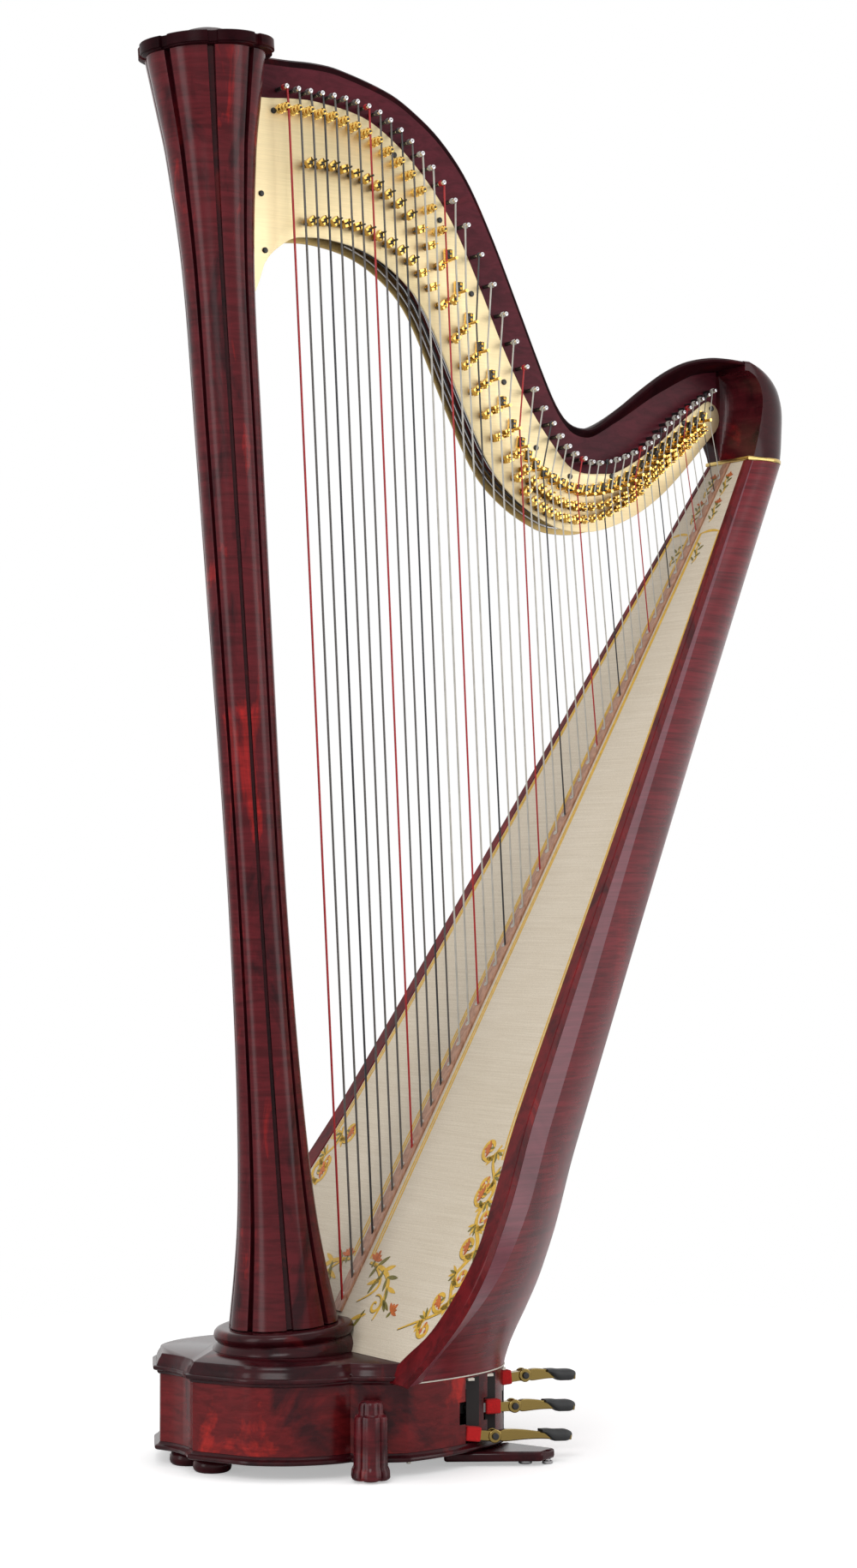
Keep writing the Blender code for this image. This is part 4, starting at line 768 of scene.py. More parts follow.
def half_section(s, shrink=0.0):
    """One side of the soundbox section whose front edge is at s, from the front edge to the back's middle."""
    half = curve_at(HALF_WIDTH, s)
    depth = box_depth(s)
    arc = back_arc(half, curve_at(CREASE_DEPTH, s), depth)
    front = board_point(s, 0, 0)
    if s >= FAN_FROM:
        inward, reach, blend = BOARD_IN, depth, 0.0
    else:
        high = board_point(FAN_FROM, 0, 0)
        pivot = high + BOARD_IN * ((high.z - WALL_TOP - GAP) / cos(BOARD_ANGLE))
        inward = (pivot - front).normalized()
        back = board_point(0, 0, BOX_DEPTH)
        along = (BOARD_UP - BOARD_IN * BOX_DEPTH_TAPER).normalized()
        apart = back - front
        reach = (apart.x * along.z - apart.z * along.x) / (inward.x * along.z - inward.z * along.x)
        blend = min(max((FAN_FROM - s) / (FAN_FROM - LOWEST), 0), 1) ** BLEND_POWER
    points = []
    rim = 0.0063 / (inward.dot(BOARD_IN) * reach)
    shape = [(rim, 1.0)] + [(d / depth, w / half) for d, w in arc]
    low_front = board_point(LOWEST, 0, 0).x
    low_reach = BASE_REAR_X - low_front
    rear = [rear_outline(FACET_ANGLE * (1 - i / BACK_STEPS)) for i in range(BACK_STEPS + 1)]
    low = [(rim, half)] + [((x - low_front) / low_reach, y) for x, y in rear]
    for i, (d, w) in enumerate(shape):
        part_depth = (1 - blend) * d + blend * low[i][0]
        wide = (1 - blend) * w * half + blend * low[i][1]
        if shrink:
            part_depth = part_depth if i == 0 else part_depth - shrink / reach * min(part_depth * 1.6, 1)
            wide -= shrink * min(wide / half * 1.25, 1)
        points.append((front + inward * (part_depth * reach), wide))
    return points


def make_soundbox():
    rows = []
    for s in evenly(LOWEST, FAN_FROM, 26) + evenly(0.33, BOARD_END, 34):
        outer, inner = half_section(s), half_section(s, 0.007)
        path = [p + ACROSS * w * FAR_SHARE for p, w in outer] + [p - ACROSS * w for p, w in outer[-2::-1]]
        path += [p - ACROSS * w for p, w in inner] + [p + ACROSS * w * FAR_SHARE for p, w in inner[-2::-1]]
        rows.append(path)
    count = len(path)
    # The flat side facets take the greyish-purple facet lacquer as a painted sheen.
    sheen_strips = (0, 2 * len(outer) - 3)
    bm = bmesh.new()
    made = add_rows(bm, rows, caps=False, slot=[1 if i in sheen_strips else 0 for i in range(count)])
    for row in (made[0], made[-1]):
        for i in range(count // 2 - 1):
            bm.faces.new((row[i], row[i + 1], row[count - 2 - i], row[count - 1 - i]))
    shell = piece("soundbox_body", bm, ["box", "facet"], replaces="soundbox", angle=35)
    cutters = above_body()
    for s, long, wide in HOLE_PLACES:
        made = bmesh.ops.create_cone(cutters, cap_ends=True, segments=40, radius1=1, radius2=1, depth=1)
        made = made["verts"]
        bmesh.ops.scale(cutters, vec=(long, wide, 0.09), verts=made)
        turn = Matrix.Translation(board_point(s, 0, box_depth(s))) @ BOARD_TURN
        bmesh.ops.transform(cutters, matrix=turn, verts=made)
    carve(shell, cutters)


def above_body():
    """A block that fills everything above the soundbox."""
    return new_form(add_box, (1.0, 1.0, 0.5), move(0.7, 0, BODY_TOP + 0.25))


def make_board():
    rows = []
    for s in evenly(-0.072, FAN_FROM, 30) + evenly(0.33, BOARD_END, 24):
        half = curve_at(HALF_WIDTH, s) - 0.0032
        far = half * FAR_SHARE
        rows.append([board_point(s, y, n) for y, n in ((-half, 0), (far, 0), (far, 0.006), (-half, 0.006))])
    board = piece("soundboard_body", new_form(add_rows, rows), "spruce", replaces="soundboard")
    carve(board, above_body())

    for side, sign, share, proud in (("left", -1, 1.0, 0.0032), ("right", 1, FAR_SHARE, 0.0014)):
        rows = []
        for s in evenly(-0.101, FAN_FROM, 38) + evenly(0.33, BOARD_END, 24):
            outer = curve_at(HALF_WIDTH, s)
            inner = min(curve_at(BOARD_HALF, s), outer - 0.005)
            section = [(inner, -0.0001), (inner, 0.001 - proud), (inner + 0.001, -proud),
                       (outer - 0.001, -proud), (outer - 0.0001, 0.001 - proud), (outer - 0.0001, 0.0061),
                       (outer - 0.003, 0.0061), (outer - 0.003, -0.0001)]
            rows.append([board_point(s, sign * y * share, n) for y, n in section])
        strip = piece("binding_" + side, new_form(add_rows, rows), "edge",
                      replaces="edge_strip_" + side, angle=25)
        carve(strip, above_body())


def ribbon(bm, path, width, lift=0.0004):
    """A painted line on the board: a path of (s, y) with one width or one for each point."""
    widths = width if isinstance(width, list) else [width] * len(path)
    rows = []
    for i, (s, y) in enumerate(path):
        s0, y0 = path[max(i - 1, 0)]
        s1, y1 = path[min(i + 1, len(path) - 1)]
        length = max(sqrt((s1 - s0) ** 2 + (y1 - y0) ** 2), 1e-9)
        ds, dy = -(y1 - y0) / length * widths[i] / 2, (s1 - s0) / length * widths[i] / 2
        a, b = (s + ds, y + dy), (s - ds, y - dy)
        corners = ((a, -lift), (b, -lift), (b, 0.00005), (a, 0.00005))
        rows.append([board_point(*place, n) for place, n in corners])
    add_rows(bm, rows)


def strip_half(s):
    return 0.012 - 0.005 * (s + 0.03) / 1.43


def side_half(s, sign):
    """Half width of the board's open face on one side."""
    return curve_at(BOARD_HALF, s) * (FAR_SHARE if sign > 0 else 1.0)


def make_pinstripes():
    stripes, bars = bmesh.new(), bmesh.new()
    width = 0.0026
    low, side_low, high = 0.055, 0.215, 1.19
    for sign in (-1, 1):
        for offset in (0.0095, 0.015):
            places = evenly(low, high, 30)
            ribbon(stripes, [(s, sign * (strip_half(s) + offset * (1 - 0.45 * s))) for s in places], width)
        for offset in (0.0045, 0.01):
            places = evenly(side_low, high, 30)
            path = [(s, sign * (side_half(s, sign) - offset * (1 - 0.45 * s))) for s in places]
            ribbon(stripes, path, width)
        inner, outer = strip_half(high) + 0.0045, side_half(high, sign) - 0.0015
        shares = evenly(0, 1, 12)
        path = [(high + 0.0035 * sin(pi * t), sign * (inner + (outer - inner) * t)) for t in shares]
        ribbon(bars, path, [0.0012 + 0.003 * sin(pi * t) for t in shares], 0.00035)
    piece("pinstripes", stripes, "gilt")
    piece("gilt_bars", bars, "gilt")


def going(place, angle, length):
    """The (s, y) place on the board at a length and an angle from another."""
    return place[0] + length * cos(angle), place[1] + length * sin(angle)


def spiral(centre, radius, start, turns):
    shares = evenly(0, 1, 27)
    return [going(centre, start + turns * tau * t, radius * (1 - 0.85 * t)) for t in shares]


def tapered(count, width):
    return [width * (0.25 + 0.75 * sin(pi * min(0.08 + 0.92 * i / (count - 1), 1))) for i in range(count)]


def make_ornament():
    """A generic border of scrolls, leaves and berries, in a layout of its own."""
    gold, shade, berries, leaves = bmesh.new(), bmesh.new(), bmesh.new(), bmesh.new()
    rng = random.Random(5)

    def stroke(path, width):
        ribbon(gold, path, tapered(len(path), width), 0.0005)
        ribbon(shade, [(s - 0.0016, y + 0.001) for s, y in path], tapered(len(path), width * 0.7), 0.0003)

    def leaf(bm, place, angle, length, width, lift=0.0006):
        path = [going(place, angle, length * t) for t in evenly(0, 1, 8)]
        ribbon(bm, path, [width * sin(pi * (0.06 + 0.92 * t)) ** 0.8 for t in evenly(0, 1, 8)], lift)

    def bloom(place, size, heading):
        for j in range(5):
            length = size * (1.0 if j % 2 else 1.25)
            leaf(berries, place, heading + radians(-70 + 35 * j), length, size * 0.42, 0.0008 + 0.0001 * j)
        leaf(leaves, place, heading + pi, size * 0.9, size * 0.4)

    def berry(place):
        made = bmesh.ops.create_uvsphere(berries, u_segments=10, v_segments=6, radius=0.0032)["verts"]
        flat = Matrix.Translation(board_point(*place, 0)) @ BOARD_TURN @ Matrix.Diagonal((1.4, 1, 0.2, 1))
        bmesh.ops.transform(berries, matrix=flat, verts=made)

    for sign in (-1, 1):
        edge = []
        for t in evenly(0, 1, 60):
            s = 0.235 - 0.285 * t
            wide = side_half(s, sign) - (0.017 + 0.01 * sin(t * tau * 3.5))
            bent = max((t - 0.8) / 0.2, 0)
            edge.append((s + 0.02 * bent * bent, sign * wide * (1 - 0.22 * bent)))
        stroke(edge, 0.006)
        for k, i in enumerate(range(2, 52, 7)):
            here, ahead = edge[i], edge[i + 1]
            heading = atan2(ahead[1] - here[1], ahead[0] - here[0])
            way, size = (1, 0.015) if k % 2 else (-1, 0.019)
            centre = going(here, heading + way * pi / 2, size)
            if abs(centre[1]) > side_half(centre[0], sign) - 0.008:
                way = -way
                centre = going(here, heading + way * pi / 2, size)
            stroke(spiral(centre, size, atan2(here[1] - centre[1], here[0] - centre[0]), way * 1.25), 0.0058)
            for j in range(4):
                direction = heading + way * (0.4 + 0.42 * j) + rng.uniform(-0.15, 0.15)
                start = going(here, heading, 0.004 * j)
                leaf(leaves if j == 3 else gold, start, direction, 0.024 - 0.003 * j, 0.0062)
                leaf(gold if j % 2 else leaves, here, heading - way * (0.5 + 0.5 * j), 0.016, 0.0042)
            if k % 2 == 0:
                bloom(centre, 0.01, heading + way * 1.2)
            else:
                for j in range(3):
                    berry(going(centre, j * 2.1, 0.006))
        s0, y0 = 0.05, sign * (strip_half(0.05) + 0.014)
        shares = evenly(0, 1, 20)
        sweep = [(s0 - 0.075 * t + 0.02 * sin(pi * t), y0 + sign * 0.07 * sin(pi * t * 0.62)) for t in shares]
        stroke(sweep, 0.0074)
        shares = evenly(0, 1, 16)
        stroke([(s0 - 0.055 * t, y0 + sign * (0.01 + 0.034 * sin(pi * t))) for t in shares], 0.0044)
        stroke(spiral((s0 - 0.055, y0 + sign * 0.056), 0.015, 0.5, sign * 1.2), 0.0042)
        for i in range(3, 16, 3):
            leaf(leaves if i % 2 else gold, sweep[i], sign * (0.6 + 0.1 * i), 0.024, 0.0062)
            leaf(leaves, sweep[i], sign * (3.9 - 0.1 * i), 0.02, 0.0055)
        bloom((s0 + 0.004, y0 + sign * 0.01), 0.012, 0.2 * sign)
        bloom((s0 - 0.06, y0 + sign * 0.1), 0.0115, 0.6 * sign)
        for s0 in (1.14, 1.21, 1.255):
            y0 = sign * (strip_half(s0) + 0.017 * (1 - 0.35 * (s0 - 1.15) / 0.11))
            stroke([(s0 + 0.034 * t, y0 + sign * 0.004 * sin(tau * t)) for t in evenly(0, 1, 12)], 0.0026)
            for j in range(5):
                leaf(leaves, (s0 + 0.004 + 0.006 * j, y0), sign * (0.9 if j % 2 else -0.9), 0.011, 0.0034)
            if s0 > 1.2:
                bloom((s0 + 0.032, y0), 0.0065, 0.0)
    for s0 in (0.02, -0.03):
        for sign in (-1, 1):
            leaf(gold, (s0, sign * (strip_half(s0) + 0.03)), sign * 1.2, 0.03, 0.0066)
            leaf(leaves, (s0 - 0.012, sign * (strip_half(s0) + 0.04)), sign * 0.4, 0.03, 0.006)
    piece("scrolls", gold, "gilt")
    piece("scroll_shade", shade, "gilt_dark")
    piece("scroll_leaves", leaves, "leaf")
    piece("berries", berries, "bud")


# Neck, plates, shoulder
def smooth_step(low, high, place):
    t = min(max((place - low) / (high - low), 0), 1)
    return t * t * (3 - 2 * t)


def neck_bottom(x):
    return curve_at(PLATE_LOW, x) + CHANNEL * smooth_step(0.0, 0.05, x) * (1 - 0.6 * smooth_step(0.6, 0.7, x))


def neck_section(x):
    top = curve_at(NECK_TOP, x)
    share = min(max((x - VISOR_FROM) / (JOINT_X - VISOR_FROM), 0), 1) ** 1.2
    front = NECK_FRONT - VISOR_OUT * share
    drop = curve_at(VISOR_DROP, x)
    fall = curve_at(BACK_FALL, x)
    low = neck_bottom(x)
    slope = (curve_at(NECK_TOP, x + 0.004) - curve_at(NECK_TOP, x - 0.004)) / 0.008
    chamfer = 0.0034 * sqrt(1 + slope * slope)
    step = 0.0036
    outline = [(NECK_BACK, low), (NECK_BACK, top - chamfer - fall),
               (NECK_BACK - step, top - chamfer * 0.25 - fall * 0.94),
               (NECK_BACK - 2 * step, top - fall * 0.86),
               (front + 2 * step, top), (front + step, top - chamfer * 0.25),
               (front + step * 0.15, top - chamfer), (front, top - chamfer - VISOR_EDGE),
               (NECK_FRONT, top - VISOR_EDGE - chamfer * 1.2 - drop), (NECK_FRONT, low)]
    return [(x, y, z) for y, z in outline]


def column_clearance():
    profile = [(z, curve_at(COLUMN_PROFILE, z) + 0.0005) for z in evenly(1.2, COLUMN_TOP - 0.0006, 14)]
    profile += [(z, RIM_R + 0.0006) for z in (COLUMN_TOP - GAP, 1.89)]
    bm = new_form(add_turned, profile, (0, 0, 0), UP, 64)
    bmesh.ops.transform(bm, matrix=LEAN_TURN, verts=bm.verts)
    return bm


def make_neck():
    places = evenly(-0.1, 0.42, 54) + evenly(0.43, JOINT_X - GAP, 44)
    # Slot 1, the near-black rim lacquer, covers the top bevels and the strip under the visor's edge; under
    # the visor it is painted shade.
    bm = new_form(add_rows, [neck_section(x) for x in places], slot=[0] + [1] * 7 + [0] * 2)
    neck = piece("neck_body", bm, ["neck", "rim"], replaces="neck", angle=24)
    carve(neck, column_clearance())


def plate_outline():
    low = [(x, curve_at(PLATE_LOW, x)) for x in evenly(-0.1, PLATE_LOW[-1][0], 110)]
    high = [(x, curve_at(PLATE_HIGH, x)) for x in evenly(PLATE_HIGH[-1][0], -0.1, 110)]
    return low + PLATE_END[::-1] + high


def make_plates():
    outline = plate_outline()
    edge = 0.0004
    # The back plate takes the darker gold as painted shade.
    for name, material, y in (("front", "plate", PLATE_FRONT_Y), ("back", "inner_plate", NECK_BACK + GAP)):
        curve = bpy.data.curves.new("outline", "CURVE")
        curve.dimensions = "2D"
        curve.fill_mode = "BOTH"
        curve.extrude = PLATE_THICK / 2 - edge
        curve.bevel_depth = edge
        curve.bevel_resolution = 1
        curve.offset = -edge
        spline = curve.splines.new("POLY")
        spline.points.add(len(outline) - 1)
        for point, (x, z) in zip(spline.points, outline):
            point.co = (x, z, 0, 1)
        spline.use_cyclic_u = True
        drawn = new_object("outline", curve)
        bpy.context.view_layer.update()
        graph = bpy.context.evaluated_depsgraph_get()
        mesh = bpy.data.meshes.new_from_object(drawn.evaluated_get(graph))
        bpy.data.objects.remove(drawn)
        bm = bmesh.new()
        bm.from_mesh(mesh)
        bmesh.ops.remove_doubles(bm, verts=bm.verts, dist=0.00002)
        upright = move(0, y + PLATE_THICK / 2, 0) @ Matrix.Rotation(radians(90), 4, "X")
        plate = piece("plate_" + name, bm, material, replaces="action_plate_" + name, angle=30,
                      turn=upright)
        carve(plate, column_clearance())


def make_linkage():
    """Rods of the action that run in the channel between the plates."""
    bm = bmesh.new()
    for k in range(7):
        y = NECK_FRONT + 0.006 + 0.0048 * k
        offset = 0.009 + 0.0035 * (k % 3)
        places = evenly(0.05 + 0.01 * k, 0.6 - 0.012 * k, 30)
        path = [(x, y, curve_at(PLATE_LOW, x) + offset + 0.0015 * sin(26 * x + k)) for x in places]
        add_tube(bm, path, 0.0013, 6, slot=k % 2)
    piece("linkage", bm, ["steel", "black"])


def shoulder_ring(height):
    share = smooth_step(SHOULDER_LOW, 1.41, height)
    edge = 0.0036 * max(1 - (SHOULDER_TOP - height) / 0.0034, 0) ** 2
    near = SHOULDER_HALF_LOW + share * (VISOR_OUT - NECK_FRONT - SHOULDER_HALF_LOW) - edge
    far = SHOULDER_HALF_LOW + share * (NECK_BACK - SHOULDER_HALF_LOW) - edge
    middle, half = (far - near) / 2, (far + near) / 2
    front, back = curve_at(SHOULDER_FRONT, height), curve_at(SHOULDER_BACK, height)
    start = front + 0.01
    ring = [(front, -near, height), (start, -near, height)]
    for i in range(1, 30):
        angle = -pi / 2 + pi * i / 30
        x = start + (back - start) * max(cos(angle), 0) ** 0.85
        ring.append((x, middle + half * sin(angle), height))
    return ring + [(start, far, height), (front, far, height)]


def make_shoulder():
    heights = evenly(SHOULDER_LOW + 2 * GAP, 1.45, 16) + evenly(1.454, 1.4905, 14)
    heights += evenly(1.4914, SHOULDER_TOP, 5)
    bm = new_form(add_rows, [shoulder_ring(z) for z in heights], slot=1)
    shoulder = piece("shoulder_body", bm, ["arch", "mould"], replaces="shoulder", angle=30)
    arc = evenly(0, pi / 2, 21)
    visor, inside = NECK_FRONT - VISOR_OUT, JOINT_X - 0.02
    rows = []
    for z in evenly(1.355, 1.4421, 10) + evenly(1.446, 1.481, 14):
        wide = curve_at(SCOOP_WIDE, z)
        outline = [(SCOOP_FROM + wide * cos(a), visor + VISOR_OUT * sin(a)) for a in arc]
        outline += [(inside, NECK_FRONT), (inside, visor - 0.02), (SCOOP_FROM + wide, visor - 0.02)]
        rows.append([(x, y, z) for x, y in outline])
    carve(shoulder, new_form(add_rows, rows))

    low = BODY_TOP + GAP
    band = mm((0, 0.6), (1.2, 1.5), (4.3, 1.5), (5.5, 0.6))
    rows = [[(x, y, low + up) for x, y in body_outline(low, grow)] for up, grow in band]
    piece("band_body", new_form(add_rows, rows), "brass", replaces="shoulder_band", angle=50)


def body_outline(height, grow):
    def place_along(n):
        return (height - BOARD_POINT.z + n * cos(BOARD_ANGLE)) / sin(BOARD_ANGLE)

    def at(n):
        s = place_along(n)
        half, depth, crease = curve_at(HALF_WIDTH, s), box_depth(s), curve_at(CREASE_DEPTH, s)
        centre, radius = back_circle(half, crease, depth)
        wide = half if n < crease else sqrt(max(radius ** 2 - (n - centre) ** 2, 0))
        return board_point(s, 0, n).x, min(wide, half)

    depth_here = BOX_DEPTH
    for _ in range(20):
        depth_here = box_depth(place_along(depth_here))
    near = []
    for i in range(25):
        x, wide = at(depth_here * sin(pi / 2 * i / 24))
        near.append((x, wide + grow))
    near[-1] = (near[-1][0] + grow, 0.0)
    near[0] = (near[0][0] - grow, near[0][1])
    return [(x, -y) for x, y in near] + near[-2::-1]


# Strings and what holds them
def anchor_place(number):
    """How far up the board a string comes out of it; the steps get shorter towards the treble."""
    steps = [j + 0.5 for j in range(number - 1)]
    return -0.0091 + sum(0.03214 - 0.00007 * k - 0.0000035 * k * k for k in steps)


def place_of(table, number):
    """Where a string meets its nut or pin, on a smooth line through the ones in the table."""
    x, z = (curve_at([(row[0], row[k] / 1000) for row in table], number) for k in (1, 2))
    return Vector((x, STRING_Y, z))


def string_points(number):
    anchor = board_point(anchor_place(number), STRING_Y, -0.0016)
    return anchor, place_of(NUTS, number), place_of(PINS, number)


def string_radius(number):
    if number <= LAST_WIRE:
        return 0.00155 - 0.00002 * number
    return 0.00135 - 0.0000215 * (number - LAST_WIRE)


def string_kind(number):
    if number in RED_STRINGS:
        return "red"
    if number in BLACK_STRINGS:
        return "black"
    return "wire" if number <= LAST_WIRE else "gut"


def add_stud(bm, x, z, back, front, radius, sides=12, slot=0):
    """A round stud that runs across the plates."""
    add_cylinder(bm, (x, back, z), (x, front, z), radius, sides, slot)


def make_strings():
    rows = []
    for s in evenly(anchor_place(1) - 0.014, BOARD_END, 20):
        half = strip_half(s)
        side = [(half, -0.0002), (half, -0.0026), (half - 0.0012, -0.0034)]
        rows.append([board_point(s, y, n) for y, n in [(-y, n) for y, n in side] + side[::-1]])
    strip = piece("centre_strip", new_form(add_rows, rows), "strip", replaces="strings", angle=25)
    carve(strip, above_body())

    wires = {kind: bmesh.new() for kind in ("red", "black", "wire", "gut")}
    pins, eyelets = bmesh.new(), bmesh.new()
    head = mm((0, 1.8), (0.6, 3.1), (2.2, 3.6), (4, 3.3), (4.6, 2.4), (29.5, 2.4))
    ferrule = [(0.0, 1.15), (0.0008, 1.1), (0.0014, 0.8), (0.0014, 0.45), (0.0006, 0.4)]
    for number in range(1, STRINGS + 1):
        anchor, nut, pin = string_points(number)
        radius = string_radius(number)
        bm = wires[string_kind(number)]
        around = 1 if pin.x > nut.x else -1
        touch = pin - Vector((0.0027 * around, 0, 0))
        foot = board_point(anchor_place(number), STRING_Y, 0.0)
        add_tube(bm, [foot, anchor, anchor.lerp(nut, 0.5), nut, touch], radius, 8)
        coil = []
        for t in evenly(0, 1, 31):
            a = tau * 2.6 * t + pi
            coil.append(pin + Vector((0.0031 * cos(a), 0.0062 * t, 0.0031 * sin(a))))
        add_tube(bm, coil, min(radius, 0.0009), 6)

        size = 1.0 if number < FIRST_TREBLE else 0.82
        add_turned(pins, [(d, r * size) for d, r in head], (pin.x, -0.0085, pin.z), (0, 1, 0), 16)
        # The black dot at the head's tip is painted shade of a hole, and the black shaft near the plate is a
        # painted dark reflection.
        add_stud(pins, pin.x, pin.z, -0.0088, -0.008, 0.0009 * size, 8, slot=1)
        add_stud(pins, pin.x, pin.z, 0.006, 0.0205, 0.0027 * size, 12, slot=1)

        s = anchor_place(number) + (0.0085 if number < LAST_WIRE else 0.0025)
        size = 0.003 if number < FIRST_TREBLE else 0.0024
        add_turned(eyelets, [(d, r * size) for d, r in ferrule], board_point(s, 0, -0.0033), -BOARD_IN, 14)
    for kind, bm in wires.items():
        piece("strings_" + kind, bm, kind + "_string", angle=60)
    piece("tuning_pins", pins, ["pin_steel", "black"])
    piece("eyelets", eyelets, "eyelet")


def add_block(bm, x, z, front, back, wide, tall, spin, slot=0):
    """A block on the front plate, turned about the plate's normal."""
    turn = move(x, (front + back) / 2, z) @ Matrix.Rotation(spin, 4, "Y")
    add_box(bm, (wide, back - front, tall), turn, slot)


def make_nuts():
    bm = bmesh.new()
    face = PLATE_FRONT_Y
    post = mm((0, 6.6), (2.2, 6.6), (2.8, 5.2), (8, 5), (8.8, 6.2), (10.6, 6.2), (11.4, 4.2), (15, 4),
              (15.8, 6), (18.4, 6), (19.2, 4), (23.2, 3.8), (24, 2.4))
    for number in range(1, STRINGS + 1):
        _, nut, pin = string_points(number)
        lean = atan2(pin.x - nut.x, pin.z - nut.z)
        x, z = nut.x, nut.z
        if number <= LAST_BASS:
            add_turned(bm, post, (x - 0.0015, face, z), (0, -1, 0), 16)
            add_stud(bm, x - 0.0015, z, face - 0.0238, face - 0.0246, 0.0018, 10, slot=2)
        else:
            wide, tall = (0.009, 0.0175) if number <= 28 else (0.008, 0.016)
            plate = face - 0.002
            add_block(bm, x, z + 0.007, plate, face, wide, tall, lean)
            add_block(bm, x, z + 0.008, face - 0.0075, plate, wide * 0.74, tall * 0.7, lean, 2)
            for up in (0.005, 0.011):
                add_stud(bm, x, z + up, face - 0.007, face - 0.009, 0.0019, 10, slot=1)
            add_block(bm, x + wide * 0.42, z + 0.006, face - 0.008, plate, 0.0014, tall * 0.8, lean)
            add_stud(bm, x, z, face - 0.0015, face - 0.024, 0.0022)
    piece("nuts", bm, ["gold", "dark_gold", "black"], angle=40)

    bm = bmesh.new()
    for x, z in PLATE_SCREWS:
        add_turned(bm, mm((0, 4), (1, 4), (2.2, 3), (2.4, 1.4)), (x, face, z), (0, -1, 0), 16)
    piece("plate_screws", bm, "black")


def note_of(number):
    return "cdefgab"[(number - 1) % 7]


def disc_angle(note):
    return radians(20) * (2 - PEDALS[note][2])


def add_disc(bm, number, place, angle):
    """A fork disc: a squarish block with a screw on two posts, and two prongs that reach past the string."""
    face = PLATE_FRONT_Y - GAP
    bass = number <= LAST_WIRE
    size = 0.0112 if number < FIRST_TREBLE else 0.0092
    back, front, sink = 0.009, 0.0006, 0.0004
    x, z = place.x, place.z
    add_block(bm, x, z, front, back, size, size * 0.94, -angle)
    add_stud(bm, x, z, face, face - 0.0026, size * 0.48, slot=1)
    add_stud(bm, x, z, front + sink, front - 0.0006, size * 0.2, slot=2)
    post, prong, reach, metal_slot = (0.0017, 0.0014, 0.008, 2) if bass else (0.0013, 0.0011, 0.0066, 0)
    for side in (-0.0044, 0.0044):
        at_x, at_z = x + side * cos(angle), z + side * sin(angle)
        add_stud(bm, at_x, at_z, face - sink, back - sink, post, 10, slot=2)
        add_stud(bm, at_x, at_z, front + sink, -reach, prong, 10, slot=metal_slot)


def make_discs():
    metals = ["gold", "dark_gold", "black"]
    still = bmesh.new()
    for number in range(3, 47):
        anchor, nut, _ = string_points(number)
        note = note_of(number)
        bass = number <= LAST_BASS
        for kind, share in zip(("natural", "sharp"), (0.0455, 0.0964) if bass else (0.056, 0.109)):
            place = nut + (anchor - nut) * share
            if bass:
                place.x -= 0.004
            if number in SOLID_DISCS:
                node = "disc_" + kind + "_" + note
                bm = new_form(add_disc, number, place, disc_angle(note))
                piece("fork_" + kind + "_" + note, bm, metals, body=node, replaces=node, angle=40,
                      bevel=0.0006)
            else:
                add_disc(still, number, place, disc_angle(note))
    piece("fork_discs", still, metals, angle=40, bevel=0.0006)


# Pedals
def toe_rows(toe_long):
    upper = [(0.0, 0.0062), (0.06, 0.0078), (0.18, 0.0082), (0.38, 0.0068), (0.58, 0.004), (0.75, 0.0014),
             (0.88, 0.0004), (1.0, 0.0)]
    lower = [(0.0, -0.0062), (0.06, -0.0076), (0.18, -0.007), (0.38, -0.0056), (0.58, -0.0052),
             (0.75, -0.0056), (0.88, -0.0062), (1.0, -0.0066)]
    rows = []
    start = 0.0068
    for t in evenly(0, 1, 18):
        x = start + (toe_long - start) * t
        half = 0.0044 + 0.005 * smooth_step(0.55, 0.8, t)
        high, low = curve_at(upper, t), curve_at(lower, t)
        rows.append([(x, y, z) for y, z in ((-half, low), (half, low), (half, high), (-half, high))])
    return rows


def toe_cap_rows(toe_long):
    def squarish(share):
        return abs(share) ** 0.6 * (1 if share > 0 else -1)

    long = 0.044
    rows = []
    for t in evenly(0, 1, 20):
        x = toe_long - long + long * t + 0.003
        rounding = sqrt(max(1 - max(0, (t - 0.74) / 0.27) ** 2, 0.04))
        half = 0.0115 * rounding * (0.8 + 0.2 * smooth_step(0, 0.25, t))
        thick = (0.004 + 0.011 * smooth_step(0.0, 0.4, t)) * rounding
        middle = 0.0052 - 0.0062 * smooth_step(0.0, 0.45, t)
        angles = [tau * i / 16 for i in range(16)]
        rows.append([(x, half * squarish(cos(a)), middle + thick / 2 * squarish(sin(a))) for a in angles])
    return rows


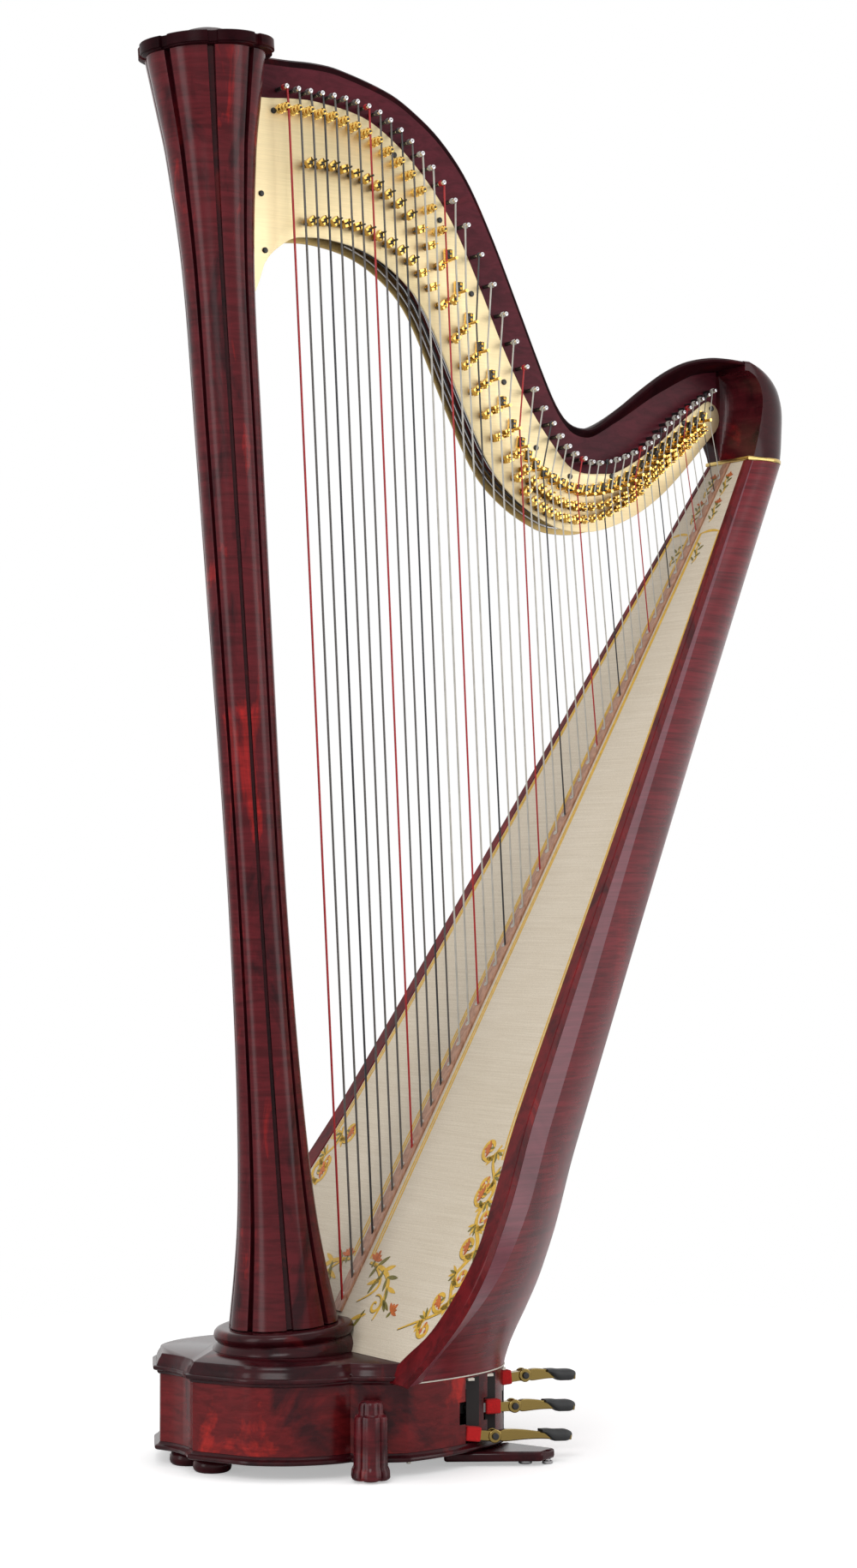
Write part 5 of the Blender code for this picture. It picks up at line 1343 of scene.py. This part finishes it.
def make_pedal(name):
    _, _, state, cad_long, toe_slope = PEDALS[name]
    toe_long = cad_long * TOE_SHARE
    axle, slot, direction = pedal_places(name)
    plan = plan_turn(direction)
    length = (slot - axle).length
    tilt = Matrix.Translation(axle) @ plan @ Matrix.Rotation(-atan2(state * NOTCH, length), 4, "Y")
    block = new_form(add_box, (0.021, 0.013, 0.0186), tilt @ move(length + 0.0005, 0, 0.0007))
    piece("felt_" + name, block, "felt", body="pedal_" + name, bevel=0.002)

    bm = bmesh.new()
    pin = tilt @ Vector((length + TOE_PIN_OUT, 0, 0))
    sideways = (tilt.to_3x3() @ ACROSS).normalized()
    washer = mm((0, 8.2), (0.8, 8.8), (3, 8.8), (3.6, 8))
    add_turned(bm, washer, pin - sideways * 0.0078, sideways, 20)
    add_turned(bm, mm((0, 4), (0.6, 4.6), (2.8, 4.6)), pin - sideways * 0.0104, sideways, 14, slot=1)
    add_turned(bm, washer, pin + sideways * 0.0078, -sideways, 20)
    add_box(bm, (TOE_PIN_OUT - 0.008, 0.0118, 0.0125), tilt @ move(length + TOE_PIN_OUT / 2 + 0.004, 0, 0))
    piece("boss_" + name, bm, ["pedal_brass", "black"], body="pedal_" + name, bevel=0.0006)

    toe = Matrix.Translation(pin) @ plan @ Matrix.Rotation(-radians(toe_slope), 4, "Y")
    piece("toe_" + name, new_form(add_rows, toe_rows(toe_long)), "pedal_brass",
          body="toe_" + name, replaces="pedal_toe_" + name, turn=toe, bevel=0.0012)
    piece("cap_" + name, new_form(add_rows, toe_cap_rows(toe_long)), "rubber",
          body="toe_" + name, angle=50, turn=toe)

    tall = 0.0032
    place = move(slot.x, slot.y, 0) @ plan @ move(-0.005, 0, SLOT_HIGH - tall / 2)
    piece("slot_felt_" + name, new_form(add_box, (0.0085, 2 * SLOT_HALF, tall), place), "cream")


def dress_cad():
    """Better materials for the CAD nodes that stay in view."""
    looks = {"inner_string_rib": "spruce", "pedal_axle": "steel"}
    for name in PEDALS:
        looks["pedal_" + name] = "dark_steel"
        looks["pedal_rod_" + name] = "steel"
    for node, look in looks.items():
        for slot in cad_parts[node].material_slots:
            slot.material = MATERIALS[look]


# Light, floor and background
def add_lamp(name, place, aim, size, power):
    data = bpy.data.lights.new(name, "AREA")
    data.shape = "RECTANGLE"
    data.size, data.size_y = size
    data.energy = power
    lamp = new_object(name, data)
    lamp.location = place
    lamp.rotation_euler = (Vector(aim) - Vector(place)).to_track_quat("-Z", "Y").to_euler()


def make_world():
    """White all round, which lights the harp at half the strength it is seen at."""
    world = bpy.data.worlds.new("world")
    bpy.context.scene.world = world
    world.use_nodes = True
    tree = world.node_tree
    rays = add_node(tree, "LightPath", {}).outputs
    seen = math_node(tree, "MAXIMUM", rays["Is Camera Ray"], rays["Is Transmission Ray"])
    shown = math_node(tree, "MAXIMUM", seen, rays["Is Glossy Ray"])
    level = add_node(tree, "MapRange", {"Value": shown, "To Min": 0.5, "To Max": 1.0}).outputs["Result"]
    set_inputs(tree.nodes["Background"], {"Color": (1, 1, 1, 1), "Strength": level})


def make_floor():
    """A white floor that fades into the background away from the harp."""
    mat, tree, shader = new_material("floor_white", (0.86, 0.86, 0.86), 0.7, gloss=0.1)
    to_camera = add_node(tree, "LightPath", {}).outputs["Is Camera Ray"]
    shine = math_node(tree, "MULTIPLY", to_camera, 0.4)
    set_inputs(shader, {"Emission Color": (1, 1, 1, 1), "Emission Strength": shine})
    place = add_node(tree, "TexCoord", {}).outputs["Object"]
    away = add_node(tree, "VectorMath", {0: place}, operation="LENGTH").outputs["Value"]
    far = add_node(tree, "MapRange", {"Value": away, "From Min": 0.7, "From Max": 1.5}).outputs["Result"]
    fade = math_node(tree, "MULTIPLY", far, to_camera)
    glow = add_node(tree, "Emission", {}).outputs[0]
    mix = add_node(tree, "MixShader", {0: fade, 1: shader.outputs[0], 2: glow}).outputs[0]
    set_inputs(tree.nodes["Material Output"], {"Surface": mix})

    bm = bmesh.new()
    low, high = -FLOOR_HALF, FLOOR_HALF
    corners = ((low, low), (high, low), (high, high), (low, high))
    bm.faces.new([bm.verts.new((*corner, 0)) for corner in corners])
    mesh = bpy.data.meshes.new("floor")
    bm.to_mesh(mesh)
    bm.free()
    mesh.materials.append(mat)
    new_object("floor", mesh)


def make_stage():
    make_world()
    make_floor()
    add_lamp("key", (-2.6, -2.6, 2.6), (0, 0, 0.9), (1.6, 1.6), 50)
    add_lamp("left_box", (-3.2, -0.3, 1.1), (-0.2, 0, 0.9), (1.0, 2.2), 22)
    add_lamp("right_box", (2.4, -3.0, 1.3), (0.1, 0, 0.8), (1.8, 2.4), 36)
    add_lamp("top", (0.2, 0.2, 3.6), (0, 0, 0), (2.4, 2.4), 38)


make_camera()
bpy.context.scene.view_settings.view_transform = "Standard"
make_column()
make_base()
make_feet()
make_soundbox()
make_board()
make_pinstripes()
make_ornament()
make_neck()
make_plates()
make_linkage()
make_shoulder()
make_strings()
make_nuts()
make_discs()
for pedal_name in PEDALS:
    make_pedal(pedal_name)
dress_cad()
make_stage()

bpy.context.view_layer.update()
